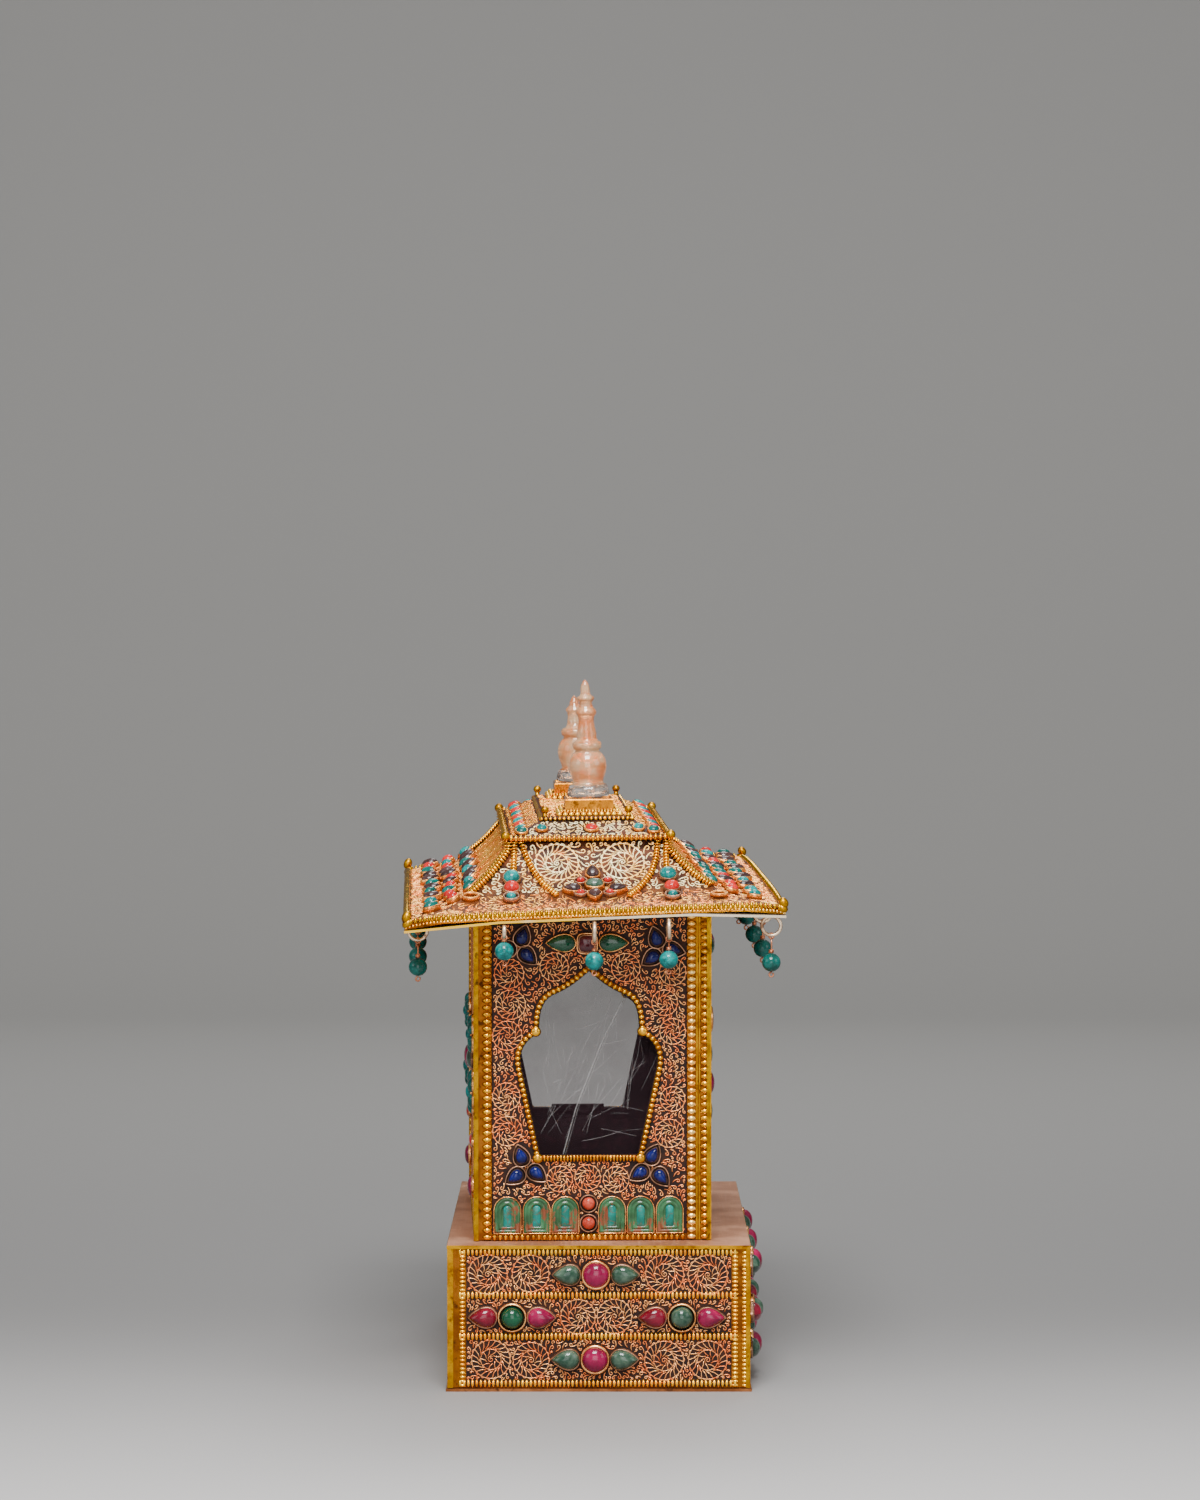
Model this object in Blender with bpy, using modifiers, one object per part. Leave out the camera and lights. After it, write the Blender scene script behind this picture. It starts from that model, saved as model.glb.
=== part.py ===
"""Altar box of gilt copper filigree set with stones: a plinth, a windowed body and a two-tier roof.

Metres, +Z up. The origin is the centre of the plinth's underside. The narrow ends face -Y (near) and +Y
(far), and the long sides face +X (front) and -X (back). The body and the roof were set down a little
askew on the plinth, and the roof leans towards one corner, so both stand in a turned frame of their own.
"""

import math

import bmesh
import bpy
from mathutils import Matrix, Vector

MM = 0.001
GAP = 0.3 * MM
WELD = 0.001 * MM

# Plinth: outer size to the bead rows, and the layers that lie on its walls
BASE_HALF_X = 64.0 * MM
BASE_HALF_Y = 104.5 * MM
BASE_TOP = 62.0 * MM
BASE_FLOOR = 1.2 * MM
BASE_FLOOR_LIP = 0.6 * MM
BASE_WALL = 1.4 * MM
BASE_LAYERS = 2.2 * MM
BASE_PLATE = 0.9 * MM
BASE_COLUMN_STEPS = (3.8 * MM, 5.5 * MM, 7.7 * MM)
BASE_ROW = 2.6 * MM
BASE_ROW_HEIGHTS = (3.2 * MM, 23.2 * MM, 40.6 * MM, 59.0 * MM)

# Stones of the plinth, with their bezel collars
ROUND_BEZEL = 6.2 * MM
PEAR_LENGTH = 12.8 * MM
PEAR_WIDTH = 9.4 * MM
PEAR_REACH = 11.7 * MM
BASE_COLLAR = 3.2 * MM
BASE_CROWN = 3.4 * MM
FRONT_CROWN = 4.6 * MM
BASE_GEM_HEIGHTS = (13.5 * MM, 31.3 * MM, 49.4 * MM)
FRONT_GEM_PITCH = 62.0 * MM

# Body: its place and turn on the plinth, outer size to the bead columns, and the layers on its walls
BODY_OFFSET = -6.3 * MM
BODY_TURN = math.radians(2.3)
BODY_HALF_X = 50.5 * MM
BODY_HALF_Y = 92.0 * MM
BODY_LAYERS = 2.3 * MM
BODY_WALL = 1.2 * MM
BODY_PLATE = 1.2 * MM
BODY_FOOT = BASE_TOP + GAP
BODY_POST = 3.9 * MM
BODY_COLUMN = 3.8 * MM
BODY_ROW = 2.7 * MM
STRIP_DEPTH = 0.6 * MM
ROW_INSET = 0.15 * MM
NEAR_RIGHT_STEPS = (0.9 * MM, 4.7 * MM, 6.6 * MM, 10.4 * MM)
LINING = 0.8 * MM
PANE = 1.5 * MM

# Window outline: half widths and heights of its sill, belly, shoulder and peak
SILL = (21.8 * MM, 97.3 * MM)
BELLY = (29.7 * MM, 134.5 * MM)
NECK = (22.6 * MM, 151.2 * MM)
SHOULDER = (13.6 * MM, 168.8 * MM)
PEAK = (0.0, 178.5 * MM)
NEAR_WINDOW_SHIFT = -1.5 * MM
FRONT_WINDOW_STRETCH = 1.55
WINDOW_RIM = 1.1 * MM
SILL_STEP_HALF = 11.0 * MM
SILL_STEP = 1.8 * MM

# Roof: heights before it settled, its lean, and the half sizes of its tiers
SOFFIT_UNDER = 204.4 * MM
SOFFIT_TOP = 205.4 * MM
EAVE_HALF = (79.7 * MM, 122.5 * MM)
EAVE_BAR = 2.0 * MM
EAVE_BAR_TOP = 209.8 * MM
EAVE_SURFACE = 208.3 * MM
STEEP_RISE = 21.7 * MM
STEEPNESS = 2.6
TIER_HALF = (34.2 * MM, 78.2 * MM)
TIER_NECK = 233.6 * MM
UPPER_BAR_HALF = (35.7 * MM, 79.7 * MM)
UPPER_BAR = (233.9 * MM, 236.2 * MM)
UPPER_EDGE_HALF = (33.2 * MM, 77.2 * MM)
UPPER_EDGE = 235.4 * MM
RIDGE_HALF = (19.6 * MM, 63.1 * MM)
RIDGE_UNDER = 241.6 * MM
RIDGE_TOP = 243.0 * MM
SHELL = 1.4 * MM
LEAN_ALONG = 0.030
LEAN_ACROSS = 0.038
LEAN_ACROSS_TOP = 0.009
CORNER_DROOP = 2.4 * MM
UPPER_SHIFT = -1.4 * MM
CORNER_BALL = 2.5 * MM

# Finial sockets and the turned crystal spires: radius and height, from the foot up
SOCKETS = {"near": (-0.1 * MM, -48.0 * MM), "far": (-1.8 * MM, 50.0 * MM)}
SOCKET_STEPS = ((14.0 * MM, 1.1 * MM), (11.6 * MM, 2.2 * MM), (10.4 * MM, 6.8 * MM))
SPIRE_LEAN = math.radians(1.9)
SPIRE_SEAT = 0.65 * MM
SPIRE_BODY = (
    (8.7, 0.0), (7.7, 5.0), (6.5, 5.9), (8.2, 12.6), (7.3, 17.0), (5.2, 19.6), (6.3, 20.6), (6.3, 23.2),
)
NEAR_SPIRE = SPIRE_BODY + (
    (4.5, 24.3), (4.2, 27.1), (3.3, 32.2), (4.6, 36.2), (2.6, 40.6), (3.9, 42.4), (1.9, 44.6), (2.0, 46.8), (0.0, 50.4),
)
FAR_SPIRE = SPIRE_BODY + ((3.6, 24.3), (3.1, 29.0), (4.0, 32.0), (1.9, 35.0), (0.0, 38.6))

# Hanging drops: where they hang, and how far each bead's centre is below the soffit
DROP_BEAD = 4.0 * MM
DROP_WIRE = 0.55 * MM
DROP_RING = 4.6 * MM
DROP_RING_WIRE = 0.6 * MM
DROP_TAIL = 2.4 * MM
DROP_EDGE_Y = 120.6 * MM
DROP_EDGE_X = 74.0 * MM
DROPS = {
    "near": ((-38.0, 11.2), (-0.4, 16.8), (30.7, 17.5)),
    "far": ((-36.0, 17.0), (0.0, 15.0), (34.0, 17.5)),
    "front": ((-116.0, 20.0), (-68.0, 20.0), (-20.0, 19.0), (28.0, 16.0), (76.0, 18.0)),
    "back": ((-84.0, 20.0), (-49.0, 19.5), (-4.0, 18.0), (44.0, 19.0), (92.0, 20.0)),
}

COLOURS = {
    "copper_sheet": ((0.55, 0.33, 0.24), 0.45, 1.0),
    "filigree": ((0.78, 0.45, 0.30), 0.38, 1.0),
    "gilt_beads": ((0.86, 0.60, 0.22), 0.28, 1.0),
    "gilt_sheet": ((0.75, 0.52, 0.15), 0.32, 1.0),
    "silvered_copper": ((0.75, 0.70, 0.58), 0.30, 1.0),
    "maroon_lining": ((0.09, 0.02, 0.045), 0.60, 0.0),
    "clear_pane": ((0.85, 0.86, 0.86), 0.08, 0.0),
    "turquoise": ((0.07, 0.50, 0.46), 0.30, 0.0),
    "coral": ((0.78, 0.14, 0.11), 0.25, 0.0),
    "lapis": ((0.03, 0.06, 0.38), 0.20, 0.0),
    "ruby": ((0.55, 0.03, 0.17), 0.15, 0.0),
    "jade": ((0.08, 0.30, 0.16), 0.20, 0.0),
    "garnet": ((0.18, 0.02, 0.03), 0.15, 0.0),
    "crystal": ((0.93, 0.83, 0.78), 0.06, 0.0),
}


def clear_scene():
    for obj in list(bpy.data.objects):
        bpy.data.objects.remove(obj)


def new_collection(name):
    collection = bpy.data.collections.new(name)
    bpy.context.scene.collection.children.link(collection)
    return collection


def new_material(name):
    colour, roughness, metallic = COLOURS[name]
    material = bpy.data.materials.new(name)
    material.use_nodes = True
    shader = material.node_tree.nodes["Principled BSDF"]
    shader.inputs["Base Color"].default_value = (*colour, 1)
    shader.inputs["Roughness"].default_value = roughness
    shader.inputs["Metallic"].default_value = metallic
    return material


clear_scene()
PARTS = new_collection("altar_box")
CUTTERS = new_collection("cutters")


def new_root(name, offset=0.0, turn=0.0):
    root = bpy.data.objects.new(name, None)
    root.location = (offset, 0, 0)
    root.rotation_euler = (0, 0, turn)
    PARTS.objects.link(root)
    return root


BASE = new_root("base_root")
BODY = new_root("body_root", BODY_OFFSET, BODY_TURN)


# Objects and the modifiers that join and cut them


def add_part(name, mesh, colour, root, frame=None):
    part = bpy.data.objects.new(name, mesh)
    mesh.materials.clear()
    mesh.materials.append(bpy.data.materials.get(colour) or new_material(colour))
    part.parent = root
    part.matrix_basis = frame or Matrix()
    PARTS.objects.link(part)
    return part


def boolean(part, tool_mesh, operation):
    tool = bpy.data.objects.new(part.name + "_tool", tool_mesh)
    tool.parent = part.parent
    tool.matrix_basis = part.matrix_basis
    tool.hide_render = True
    tool.display_type = "WIRE"
    CUTTERS.objects.link(tool)
    modifier = part.modifiers.new(operation.lower(), "BOOLEAN")
    modifier.operation = operation
    modifier.solver = "EXACT"
    modifier.use_self = True
    modifier.object = tool
    return part


def fuse(part, meshes):
    return boolean(part, merged(meshes), "UNION")


def cut(part, *meshes):
    for mesh in meshes:
        boolean(part, mesh, "DIFFERENCE")
    return part


def merged(meshes):
    bm = bmesh.new()
    for mesh in meshes:
        bm.from_mesh(mesh)
    return finished(bm)


def finished(bm, smooth=False):
    mesh = bpy.data.meshes.new("shape")
    bmesh.ops.recalc_face_normals(bm, faces=bm.faces)
    bm.to_mesh(mesh)
    bm.free()
    if smooth:
        mesh.shade_smooth()
    return mesh


# Basic shapes


def box(low, high):
    bm = bmesh.new()
    size = Vector(high) - Vector(low)
    middle = (Vector(high) + Vector(low)) / 2
    bmesh.ops.create_cube(bm, size=1, matrix=Matrix.Translation(middle) @ Matrix.Diagonal((*size, 1)))
    return finished(bm)


def slab(outlines, low, high):
    """A flat plate between two heights, from an outer outline and any holes in it."""
    curve = bpy.data.curves.new("outline", "CURVE")
    curve.dimensions = "2D"
    curve.fill_mode = "BOTH"
    curve.extrude = (high - low) / 2
    for points in outlines:
        spline = curve.splines.new("POLY")
        spline.points.add(len(points) - 1)
        spline.use_cyclic_u = True
        for target, (x, y) in zip(spline.points, points):
            target.co = (x, y, 0, 1)
    guide = bpy.data.objects.new("outline", curve)
    CUTTERS.objects.link(guide)
    seen = guide.evaluated_get(bpy.context.evaluated_depsgraph_get())
    mesh = bpy.data.meshes.new_from_object(seen)
    bpy.data.objects.remove(guide)
    bm = bmesh.new()
    bm.from_mesh(mesh)
    bmesh.ops.remove_doubles(bm, verts=bm.verts, dist=WELD)
    bmesh.ops.translate(bm, verts=bm.verts, vec=(0, 0, (low + high) / 2))
    return finished(bm)


def loft(rings, wrap=False):
    """A closed body through rings of points. A ring of one point is a tip; wrap makes a closed tube."""
    bm = bmesh.new()
    rows = [[bm.verts.new(point) for point in ring] for ring in rings]
    if wrap:
        rows.append(rows[0])
    else:
        bm.faces.new(rows[0])
    for below, above in zip(rows, rows[1:]):
        for k, corner in enumerate(below):
            beside = below[(k + 1) % len(below)]
            if len(above) == 1:
                bm.faces.new((corner, beside, above[0]))
            else:
                bm.faces.new((corner, beside, above[(k + 1) % len(above)], above[k]))
    if not wrap and len(rows[-1]) > 1:
        bm.faces.new(rows[-1])
    return finished(bm)


def ball(centre, radius, segments=6, rings=4):
    bm = bmesh.new()
    bmesh.ops.create_uvsphere(
        bm, u_segments=segments, v_segments=rings, radius=radius, matrix=Matrix.Translation(centre)
    )
    return finished(bm, smooth=True)


def rectangle(half_x, half_y, height, shift=0.0, across=4, along=6):
    """Points round a rectangle, evenly spaced between its corners."""
    corners = ((-half_x, -half_y), (half_x, -half_y), (half_x, half_y), (-half_x, half_y))
    points = []
    for k, (x, y) in enumerate(corners):
        to_x, to_y = corners[(k + 1) % 4]
        count = along if k % 2 else across
        for step in range(count):
            part = step / count
            points.append((shift + x + (to_x - x) * part, y + (to_y - y) * part, height))
    return points


def hoop(half, width, low, high, shift=0.0, across=4, along=6):
    """A rectangular hoop, width thick, whose outer half sizes are half."""
    inner = (half[0] - width, half[1] - width)
    corners = ((half, low), (half, high), (inner, high), (inner, low))
    return loft([rectangle(*size, height, shift, across, along) for size, height in corners], wrap=True)


def corner_post(half, ways, insets, low, high):
    """An upright whose plan is given as steps in from the two outer faces of one corner."""
    plan = [(ways[0] * (half[0] - x), ways[1] * (half[1] - y)) for x, y in insets]
    return slab([plan], low, high)


# Stone outlines and set stones


def round_outline(radius, count=8, start=0.0):
    turns = [2 * math.pi * (k + start) / count for k in range(count)]
    return [(radius * math.cos(a), radius * math.sin(a)) for a in turns]


def pear_outline(length, width, angle, count=8):
    """A teardrop whose tip points along angle."""
    widest = 0.77
    points = []
    for k in range(count):
        turn = 2 * math.pi * k / count
        x = math.cos(turn) * length / 2
        y = math.sin(turn) * abs(math.sin(turn / 2)) * width / 2 / widest
        points.append((x * math.cos(angle) - y * math.sin(angle), x * math.sin(angle) + y * math.cos(angle)))
    return points


def leaf_outline(length, width):
    """A six-sided leaf with a tip at each end of X."""
    x, y = length / 2, width / 2
    return [(x, 0), (x / 3, y), (-x / 3, y), (-x, 0), (-x / 3, -y), (x / 3, -y)]


def arch_outline(width, height):
    """A round-headed arch standing on its middle foot point."""
    half = width / 2
    spring = height - half
    head = [(half * math.cos(a), spring + half * math.sin(a)) for a in (0, 0.7, math.pi / 2, math.pi - 0.7, math.pi)]
    return [(-half, 0), (half, 0)] + head


def stone(outline, centre, foot, collar, crown, domed=False):
    """A bezel collar and its stone in one loft, standing on height foot. A domed stone has a shoulder."""
    middle_x = sum(x for x, y in outline) / len(outline)
    middle_y = sum(y for x, y in outline) / len(outline)

    def ring(scale, height):
        across = [middle_x + (x - middle_x) * scale for x, y in outline]
        up = [middle_y + (y - middle_y) * scale for x, y in outline]
        return [(centre[0] + x, centre[1] + y, height) for x, y in zip(across, up)]

    shoulder = [ring(0.72, collar + 0.72 * crown)] if domed else []
    tip = [(centre[0] + middle_x, centre[1] + middle_y, collar + crown)]
    return loft([ring(1, foot), ring(1, collar), *shoulder, tip])


def cluster(centre, foot, collar, crown, upright=False, domed=False):
    """A round stone between two pears that point away from it."""
    x, y = centre
    turn = math.pi / 2 if upright else 0.0
    stones = [stone(round_outline(ROUND_BEZEL), centre, foot, collar, crown, domed)]
    for way in (turn, turn + math.pi):
        beside = (x + PEAR_REACH * math.cos(way), y + PEAR_REACH * math.sin(way))
        outline = pear_outline(PEAR_LENGTH, PEAR_WIDTH, way)
        stones.append(stone(outline, beside, foot, collar * 0.85, crown * 0.8, domed))
    return stones


def trefoil(centre, ways, foot):
    """Three small pears that point away from their shared middle."""
    reach = 4.3 * MM
    stones = []
    for degrees in ways:
        way = math.radians(degrees)
        beside = (centre[0] + reach * math.cos(way), centre[1] + reach * math.sin(way))
        stones.append(stone(pear_outline(9.4 * MM, 7.4 * MM, way), beside, foot, foot + 1.1 * MM, 1.6 * MM))
    return stones


# Faces: a face frame has X to the right and Y up along the wall, and Z out of it


def face_frame(turn, reach):
    """The frame on a wall's outer face. A turn of 0 is near, 90 front, 180 far and 270 back."""
    out = Matrix.Translation((0, -reach, 0)) @ Matrix.Rotation(math.pi / 2, 4, "X")
    return Matrix.Rotation(math.radians(turn), 4, "Z") @ out


TURNS = {"near": 0, "front": 90, "far": 180, "back": 270}


def base_face(side):
    half = BASE_HALF_X if side in ("front", "back") else BASE_HALF_Y
    return face_frame(TURNS[side], half - BASE_LAYERS)


def body_face(side):
    half = BODY_HALF_X if side in ("front", "back") else BODY_HALF_Y
    return face_frame(TURNS[side], half - BODY_LAYERS)


def half_width(side, half_x, half_y):
    return half_y if side in ("front", "back") else half_x


def moved(mesh, frame):
    mesh.transform(frame)
    return mesh


# How the roof settled


def lean(x, y, height):
    """How far the roof stands off its level place at a point, in the body's frame."""
    up = (height - EAVE_SURFACE) / (UPPER_EDGE - EAVE_SURFACE)
    up = min(max(up, 0.0), 1.0)
    across = LEAN_ACROSS + (LEAN_ACROSS_TOP - LEAN_ACROSS) * up
    corner = (abs(x) / EAVE_HALF[0]) ** 10 * (abs(y) / EAVE_HALF[1]) ** 4
    return LEAN_ALONG * y + across * x - CORNER_DROOP * corner * (1 - up)


def settle(mesh):
    for vertex in mesh.vertices:
        x, y, z = vertex.co
        vertex.co.z = z + lean(x, y, z)
    return mesh


def seat_height(x, y):
    """Top of the body's walls, a gap below the leaning soffit."""
    return SOFFIT_UNDER - GAP + LEAN_ALONG * y + LEAN_ACROSS * x


def above_seat(drop=0.0):
    """A cutter that takes away everything above the walls' leaning top, lowered by drop."""
    block = box((-0.1, -0.15, 0), (0.1, 0.15, 0.1))
    for vertex in block.vertices:
        vertex.co.z += seat_height(vertex.co.x, vertex.co.y) - drop
    return block


# Window outline


def bezier(start, pull_start, pull_end, end, count):
    points = []
    for k in range(count):
        t = k / count
        weights = ((1 - t) ** 3, 3 * t * (1 - t) ** 2, 3 * t * t * (1 - t), t**3)
        handles = (start, pull_start, pull_end, end)
        points.append(tuple(sum(w * h[axis] for w, h in zip(weights, handles)) for axis in (0, 1)))
    return points


def window_outline(stretch=1.0, shift=0.0, step=False):
    """The lobed window: slanted sides, a round belly, a notched neck and a pointed arch."""
    half = [SILL]
    half += bezier(BELLY, (31.4 * MM, 142 * MM), (29.6 * MM, 147.5 * MM), NECK, 4)
    half += bezier(NECK, (22.3 * MM, 158 * MM), (22.4 * MM, 166 * MM), SHOULDER, 4)
    half += bezier(SHOULDER, (8 * MM, 171.3 * MM), (3.2 * MM, 175.6 * MM), PEAK, 3)
    right = [(x * stretch + shift, y) for x, y in half]
    left = [(-x * stretch + shift, y) for x, y in reversed(half)]
    sill = []
    if step:
        high = SILL[1] + SILL_STEP
        low = SILL[1]
        s = SILL_STEP_HALF
        sill = [(shift - s, low), (shift - s, high), (shift + s, high), (shift + s, low)]
    return right + [(PEAK[0] + shift, PEAK[1])] + left + sill


def offset(points, distance):
    """The outline moved outwards by distance, or inwards where distance is negative."""
    moved_points = []
    for k, (x, y) in enumerate(points):
        before, after = points[k - 1], points[(k + 1) % len(points)]
        into = Vector((x - before[0], y - before[1])).normalized()
        on = Vector((after[0] - x, after[1] - y)).normalized()
        normal = Vector((into.y + on.y, -into.x - on.x)).normalized()
        square = max(normal.dot(Vector((into.y, -into.x))), 0.6)
        moved_points.append((x + normal.x * distance / square, y + normal.y * distance / square))
    return moved_points


WINDOWS = {
    "near": window_outline(shift=NEAR_WINDOW_SHIFT),
    "far": window_outline(step=True),
    "front": window_outline(stretch=FRONT_WINDOW_STRETCH),
}


# Plinth


def make_base_floor():
    x, y = BASE_HALF_X + BASE_FLOOR_LIP, BASE_HALF_Y + BASE_FLOOR_LIP
    add_part("base_floor", box((-x, -y, 0), (x, y, BASE_FLOOR)), "copper_sheet", BASE)


def make_base_case():
    """Four walls and an overhanging top plate, hollow and open below."""
    foot = BASE_FLOOR + GAP
    x, y = BASE_HALF_X - BASE_LAYERS, BASE_HALF_Y - BASE_LAYERS
    inner_x, inner_y = x - BASE_WALL, y - BASE_WALL
    under = BASE_TOP - BASE_FLOOR
    case = add_part("base_case", box((-x, -y, foot), (x, y, under + GAP)), "copper_sheet", BASE)
    fuse(case, [box((-BASE_HALF_X, -BASE_HALF_Y, under), (BASE_HALF_X, BASE_HALF_Y, BASE_TOP))])
    cut(case, box((-inner_x, -inner_y, -foot), (inner_x, inner_y, under)))


def make_base_bead_frame():
    """Corner strips, bead columns and four bead rows on every side, soldered into one cage."""
    foot = BASE_FLOOR + GAP
    top = BASE_TOP - BASE_FLOOR - GAP
    half = (BASE_HALF_X, BASE_HALF_Y)
    deep = BASE_LAYERS - GAP
    shallow = deep - BASE_PLATE
    post, near_edge, far_edge = BASE_COLUMN_STEPS
    leg = [(post, 0), (post, shallow), (near_edge, shallow), (near_edge, 0), (far_edge, 0), (far_edge, deep)]
    angle = [(0, 0), *leg, (deep, deep)] + [(y, x) for x, y in reversed(leg)]
    bars = [corner_post(half, (x, y), angle, foot, top) for x in (-1, 1) for y in (-1, 1)]
    outer = (half[0] - ROW_INSET, half[1] - ROW_INSET)
    for height in BASE_ROW_HEIGHTS:
        low, high = height - BASE_ROW / 2, height + BASE_ROW / 2
        bars.append(hoop(outer, shallow - ROW_INSET, low, high, across=1, along=1))
    cage = add_part("base_bead_frame", bars[0], "gilt_beads", BASE)
    fuse(cage, bars[1:])


def base_plate(side):
    reach = half_width(side, BASE_HALF_X, BASE_HALF_Y) - BASE_COLUMN_STEPS[-1] - GAP
    foot = BASE_FLOOR + GAP
    top = BASE_TOP - BASE_FLOOR - GAP
    return box((-reach, foot, GAP), (reach, top, BASE_PLATE))


def make_base_panels():
    """Filigree plates, with the stones of the far and front sides fused to them."""
    low, middle, high = BASE_GEM_HEIGHTS
    sunk = BASE_PLATE - GAP
    add_part("base_panel_near", base_plate("near"), "filigree", BASE, base_face("near"))
    far = add_part("base_panel_far", base_plate("far"), "filigree", BASE, base_face("far"))
    stones = []
    for centre in ((0, low), (-36 * MM, middle), (36 * MM, middle), (0, high)):
        stones += cluster(centre, sunk, BASE_COLLAR, BASE_CROWN)
    fuse(far, stones)
    front = add_part("base_panel_front", base_plate("front"), "filigree", BASE, base_face("front"))
    stones = []
    for steps, height in (((-1, 0, 1), low), ((-1.26, -0.42, 0.42, 1.26), middle), ((-1, 0, 1), high)):
        for step in steps:
            stones += cluster((step * FRONT_GEM_PITCH, height), sunk, BASE_COLLAR, FRONT_CROWN)
    fuse(front, stones)


def make_near_base_gems():
    low, middle, high = BASE_GEM_HEIGHTS
    places = {
        "top": (-1.2 * MM, high, "jade"),
        "left": (-36.6 * MM, middle, "ruby"),
        "right": (35.0 * MM, middle, "ruby"),
        "bottom": (-1.6 * MM, low, "jade"),
    }
    foot = BASE_PLATE + GAP
    for name, (x, height, colour) in places.items():
        first, *pears = cluster((x, height), foot, BASE_COLLAR, BASE_CROWN, domed=True)
        gems = add_part("base_gems_near_" + name, first, colour, BASE, base_face("near"))
        fuse(gems, pears)


# Body


def wall_tube(half_x, half_y, thickness, low, high):
    def corners(x, y):
        return [(-x, -y), (x, -y), (x, y), (-x, y)]

    return slab([corners(half_x, half_y), corners(half_x - thickness, half_y - thickness)], low, high)


def window_cutters(grow):
    """Prisms through each windowed wall, grown outwards by grow."""
    deep = 12 * MM
    return [moved(slab([offset(outline, grow)], -deep, deep), body_face(side)) for side, outline in WINDOWS.items()]


def make_body_case():
    x, y = BODY_HALF_X - BODY_LAYERS, BODY_HALF_Y - BODY_LAYERS
    walls = wall_tube(x, y, BODY_WALL, BODY_FOOT, SOFFIT_UNDER + 20 * MM)
    case = add_part("body_case", walls, "copper_sheet", BODY)
    cut(case, above_seat(), *window_cutters(-WINDOW_RIM))


def make_body_lining():
    """The thin inner box, with its floor, just inside the walls."""
    x = BODY_HALF_X - BODY_LAYERS - BODY_WALL - GAP
    y = BODY_HALF_Y - BODY_LAYERS - BODY_WALL - GAP
    top = SOFFIT_UNDER + 20 * MM
    lining = add_part("body_lining", wall_tube(x, y, LINING, BODY_FOOT, top), "maroon_lining", BODY)
    fuse(lining, [box((-x, -y, BODY_FOOT), (x, y, BODY_FOOT + LINING))])
    cut(lining, above_seat(), *window_cutters(-WINDOW_RIM))


def make_panes():
    behind = BODY_WALL + LINING + 2 * GAP
    sizes = {"near": (33 * MM, NEAR_WINDOW_SHIFT), "far": (33 * MM, 0.0), "front": (50 * MM, 0.0)}
    for side, (half, shift) in sizes.items():
        low = (shift - half, SILL[1] - 4 * MM, -behind - PANE)
        high = (shift + half, PEAK[1] + 4 * MM, -behind)
        add_part("pane_" + side, box(low, high), "clear_pane", BODY, body_face(side))


def panel_reach(side):
    """Left and right edges of a body panel, between the bead columns."""
    reach = half_width(side, BODY_HALF_X, BODY_HALF_Y) - BODY_POST - BODY_COLUMN
    right = BODY_HALF_X - NEAR_RIGHT_STEPS[-1] if side == "near" else reach
    return -reach + GAP, right - GAP


def seat_on_face(side, u):
    """Height of the walls' leaning top at a place u along a side."""
    place = body_face(side) @ Vector((u, 0, 0))
    return seat_height(place.x, place.y)


def make_body_bead_frame():
    """Corner strips and bead columns between a level bead row and a leaning one."""
    half = (BODY_HALF_X, BODY_HALF_Y)
    deep = BODY_LAYERS - GAP
    post, column = BODY_POST, BODY_POST + BODY_COLUMN
    leg = [(STRIP_DEPTH, STRIP_DEPTH), (STRIP_DEPTH, post), (0, post), (0, column), (deep, column), (deep, deep)]
    plain = leg + [(column, deep), (column, 0), (post, 0), (post, STRIP_DEPTH)]
    edge, groove, ridge, end = NEAR_RIGHT_STEPS
    double = leg + [(end, deep), (end, 0), (ridge, 0), (ridge, STRIP_DEPTH * 1.5)]
    double += [(groove, STRIP_DEPTH * 1.5), (groove, 0), (edge, 0), (edge, STRIP_DEPTH)]
    foot, top = BODY_FOOT + ROW_INSET, SOFFIT_UNDER + 8 * MM
    bars = [corner_post(half, ways, plain, foot, top) for ways in ((-1, -1), (-1, 1), (1, 1))]
    bars.append(corner_post(half, (1, -1), double, foot, top))
    outer = (half[0] - ROW_INSET, half[1] - ROW_INSET)
    width = deep - 2 * ROW_INSET
    bars.append(hoop(outer, width, BODY_FOOT, BODY_FOOT + BODY_ROW, across=1, along=1))
    row = hoop(outer, width, -BODY_ROW, BODY_ROW, across=1, along=1)
    for vertex in row.vertices:
        vertex.co.z += seat_height(vertex.co.x, vertex.co.y)
    bars.append(row)
    cage = add_part("body_bead_frame", bars[0], "gilt_beads", BODY)
    fuse(cage, bars[1:])
    cut(cage, above_seat())


def body_plate(side):
    """A panel between the bead rows and columns, with a raised bead rim round its window."""
    left, right = panel_reach(side)
    low = BODY_FOOT + BODY_ROW + GAP
    drop = BODY_ROW + GAP
    outline = [(left, low), (right, low)]
    outline += [(u, seat_on_face(side, u) - drop) for u in (right, left)]
    if side not in WINDOWS:
        return slab([outline], GAP, BODY_PLATE), []
    window = WINDOWS[side]
    plate = slab([outline, offset(window, -WINDOW_RIM)], GAP, BODY_PLATE)
    rim = slab([offset(window, WINDOW_RIM), offset(window, -WINDOW_RIM)], GAP, BODY_PLATE + 1.9 * MM)
    return plate, [rim]


def tile(x, foot, width=11.6 * MM, height=15.4 * MM):
    return stone(arch_outline(width, height), (x, 65.6 * MM), foot, foot + 1.4 * MM, 1.0 * MM)


def small_round(centre, radius, foot):
    return stone(round_outline(radius), centre, foot, foot + 1.4 * MM, 1.5 * MM)


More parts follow.
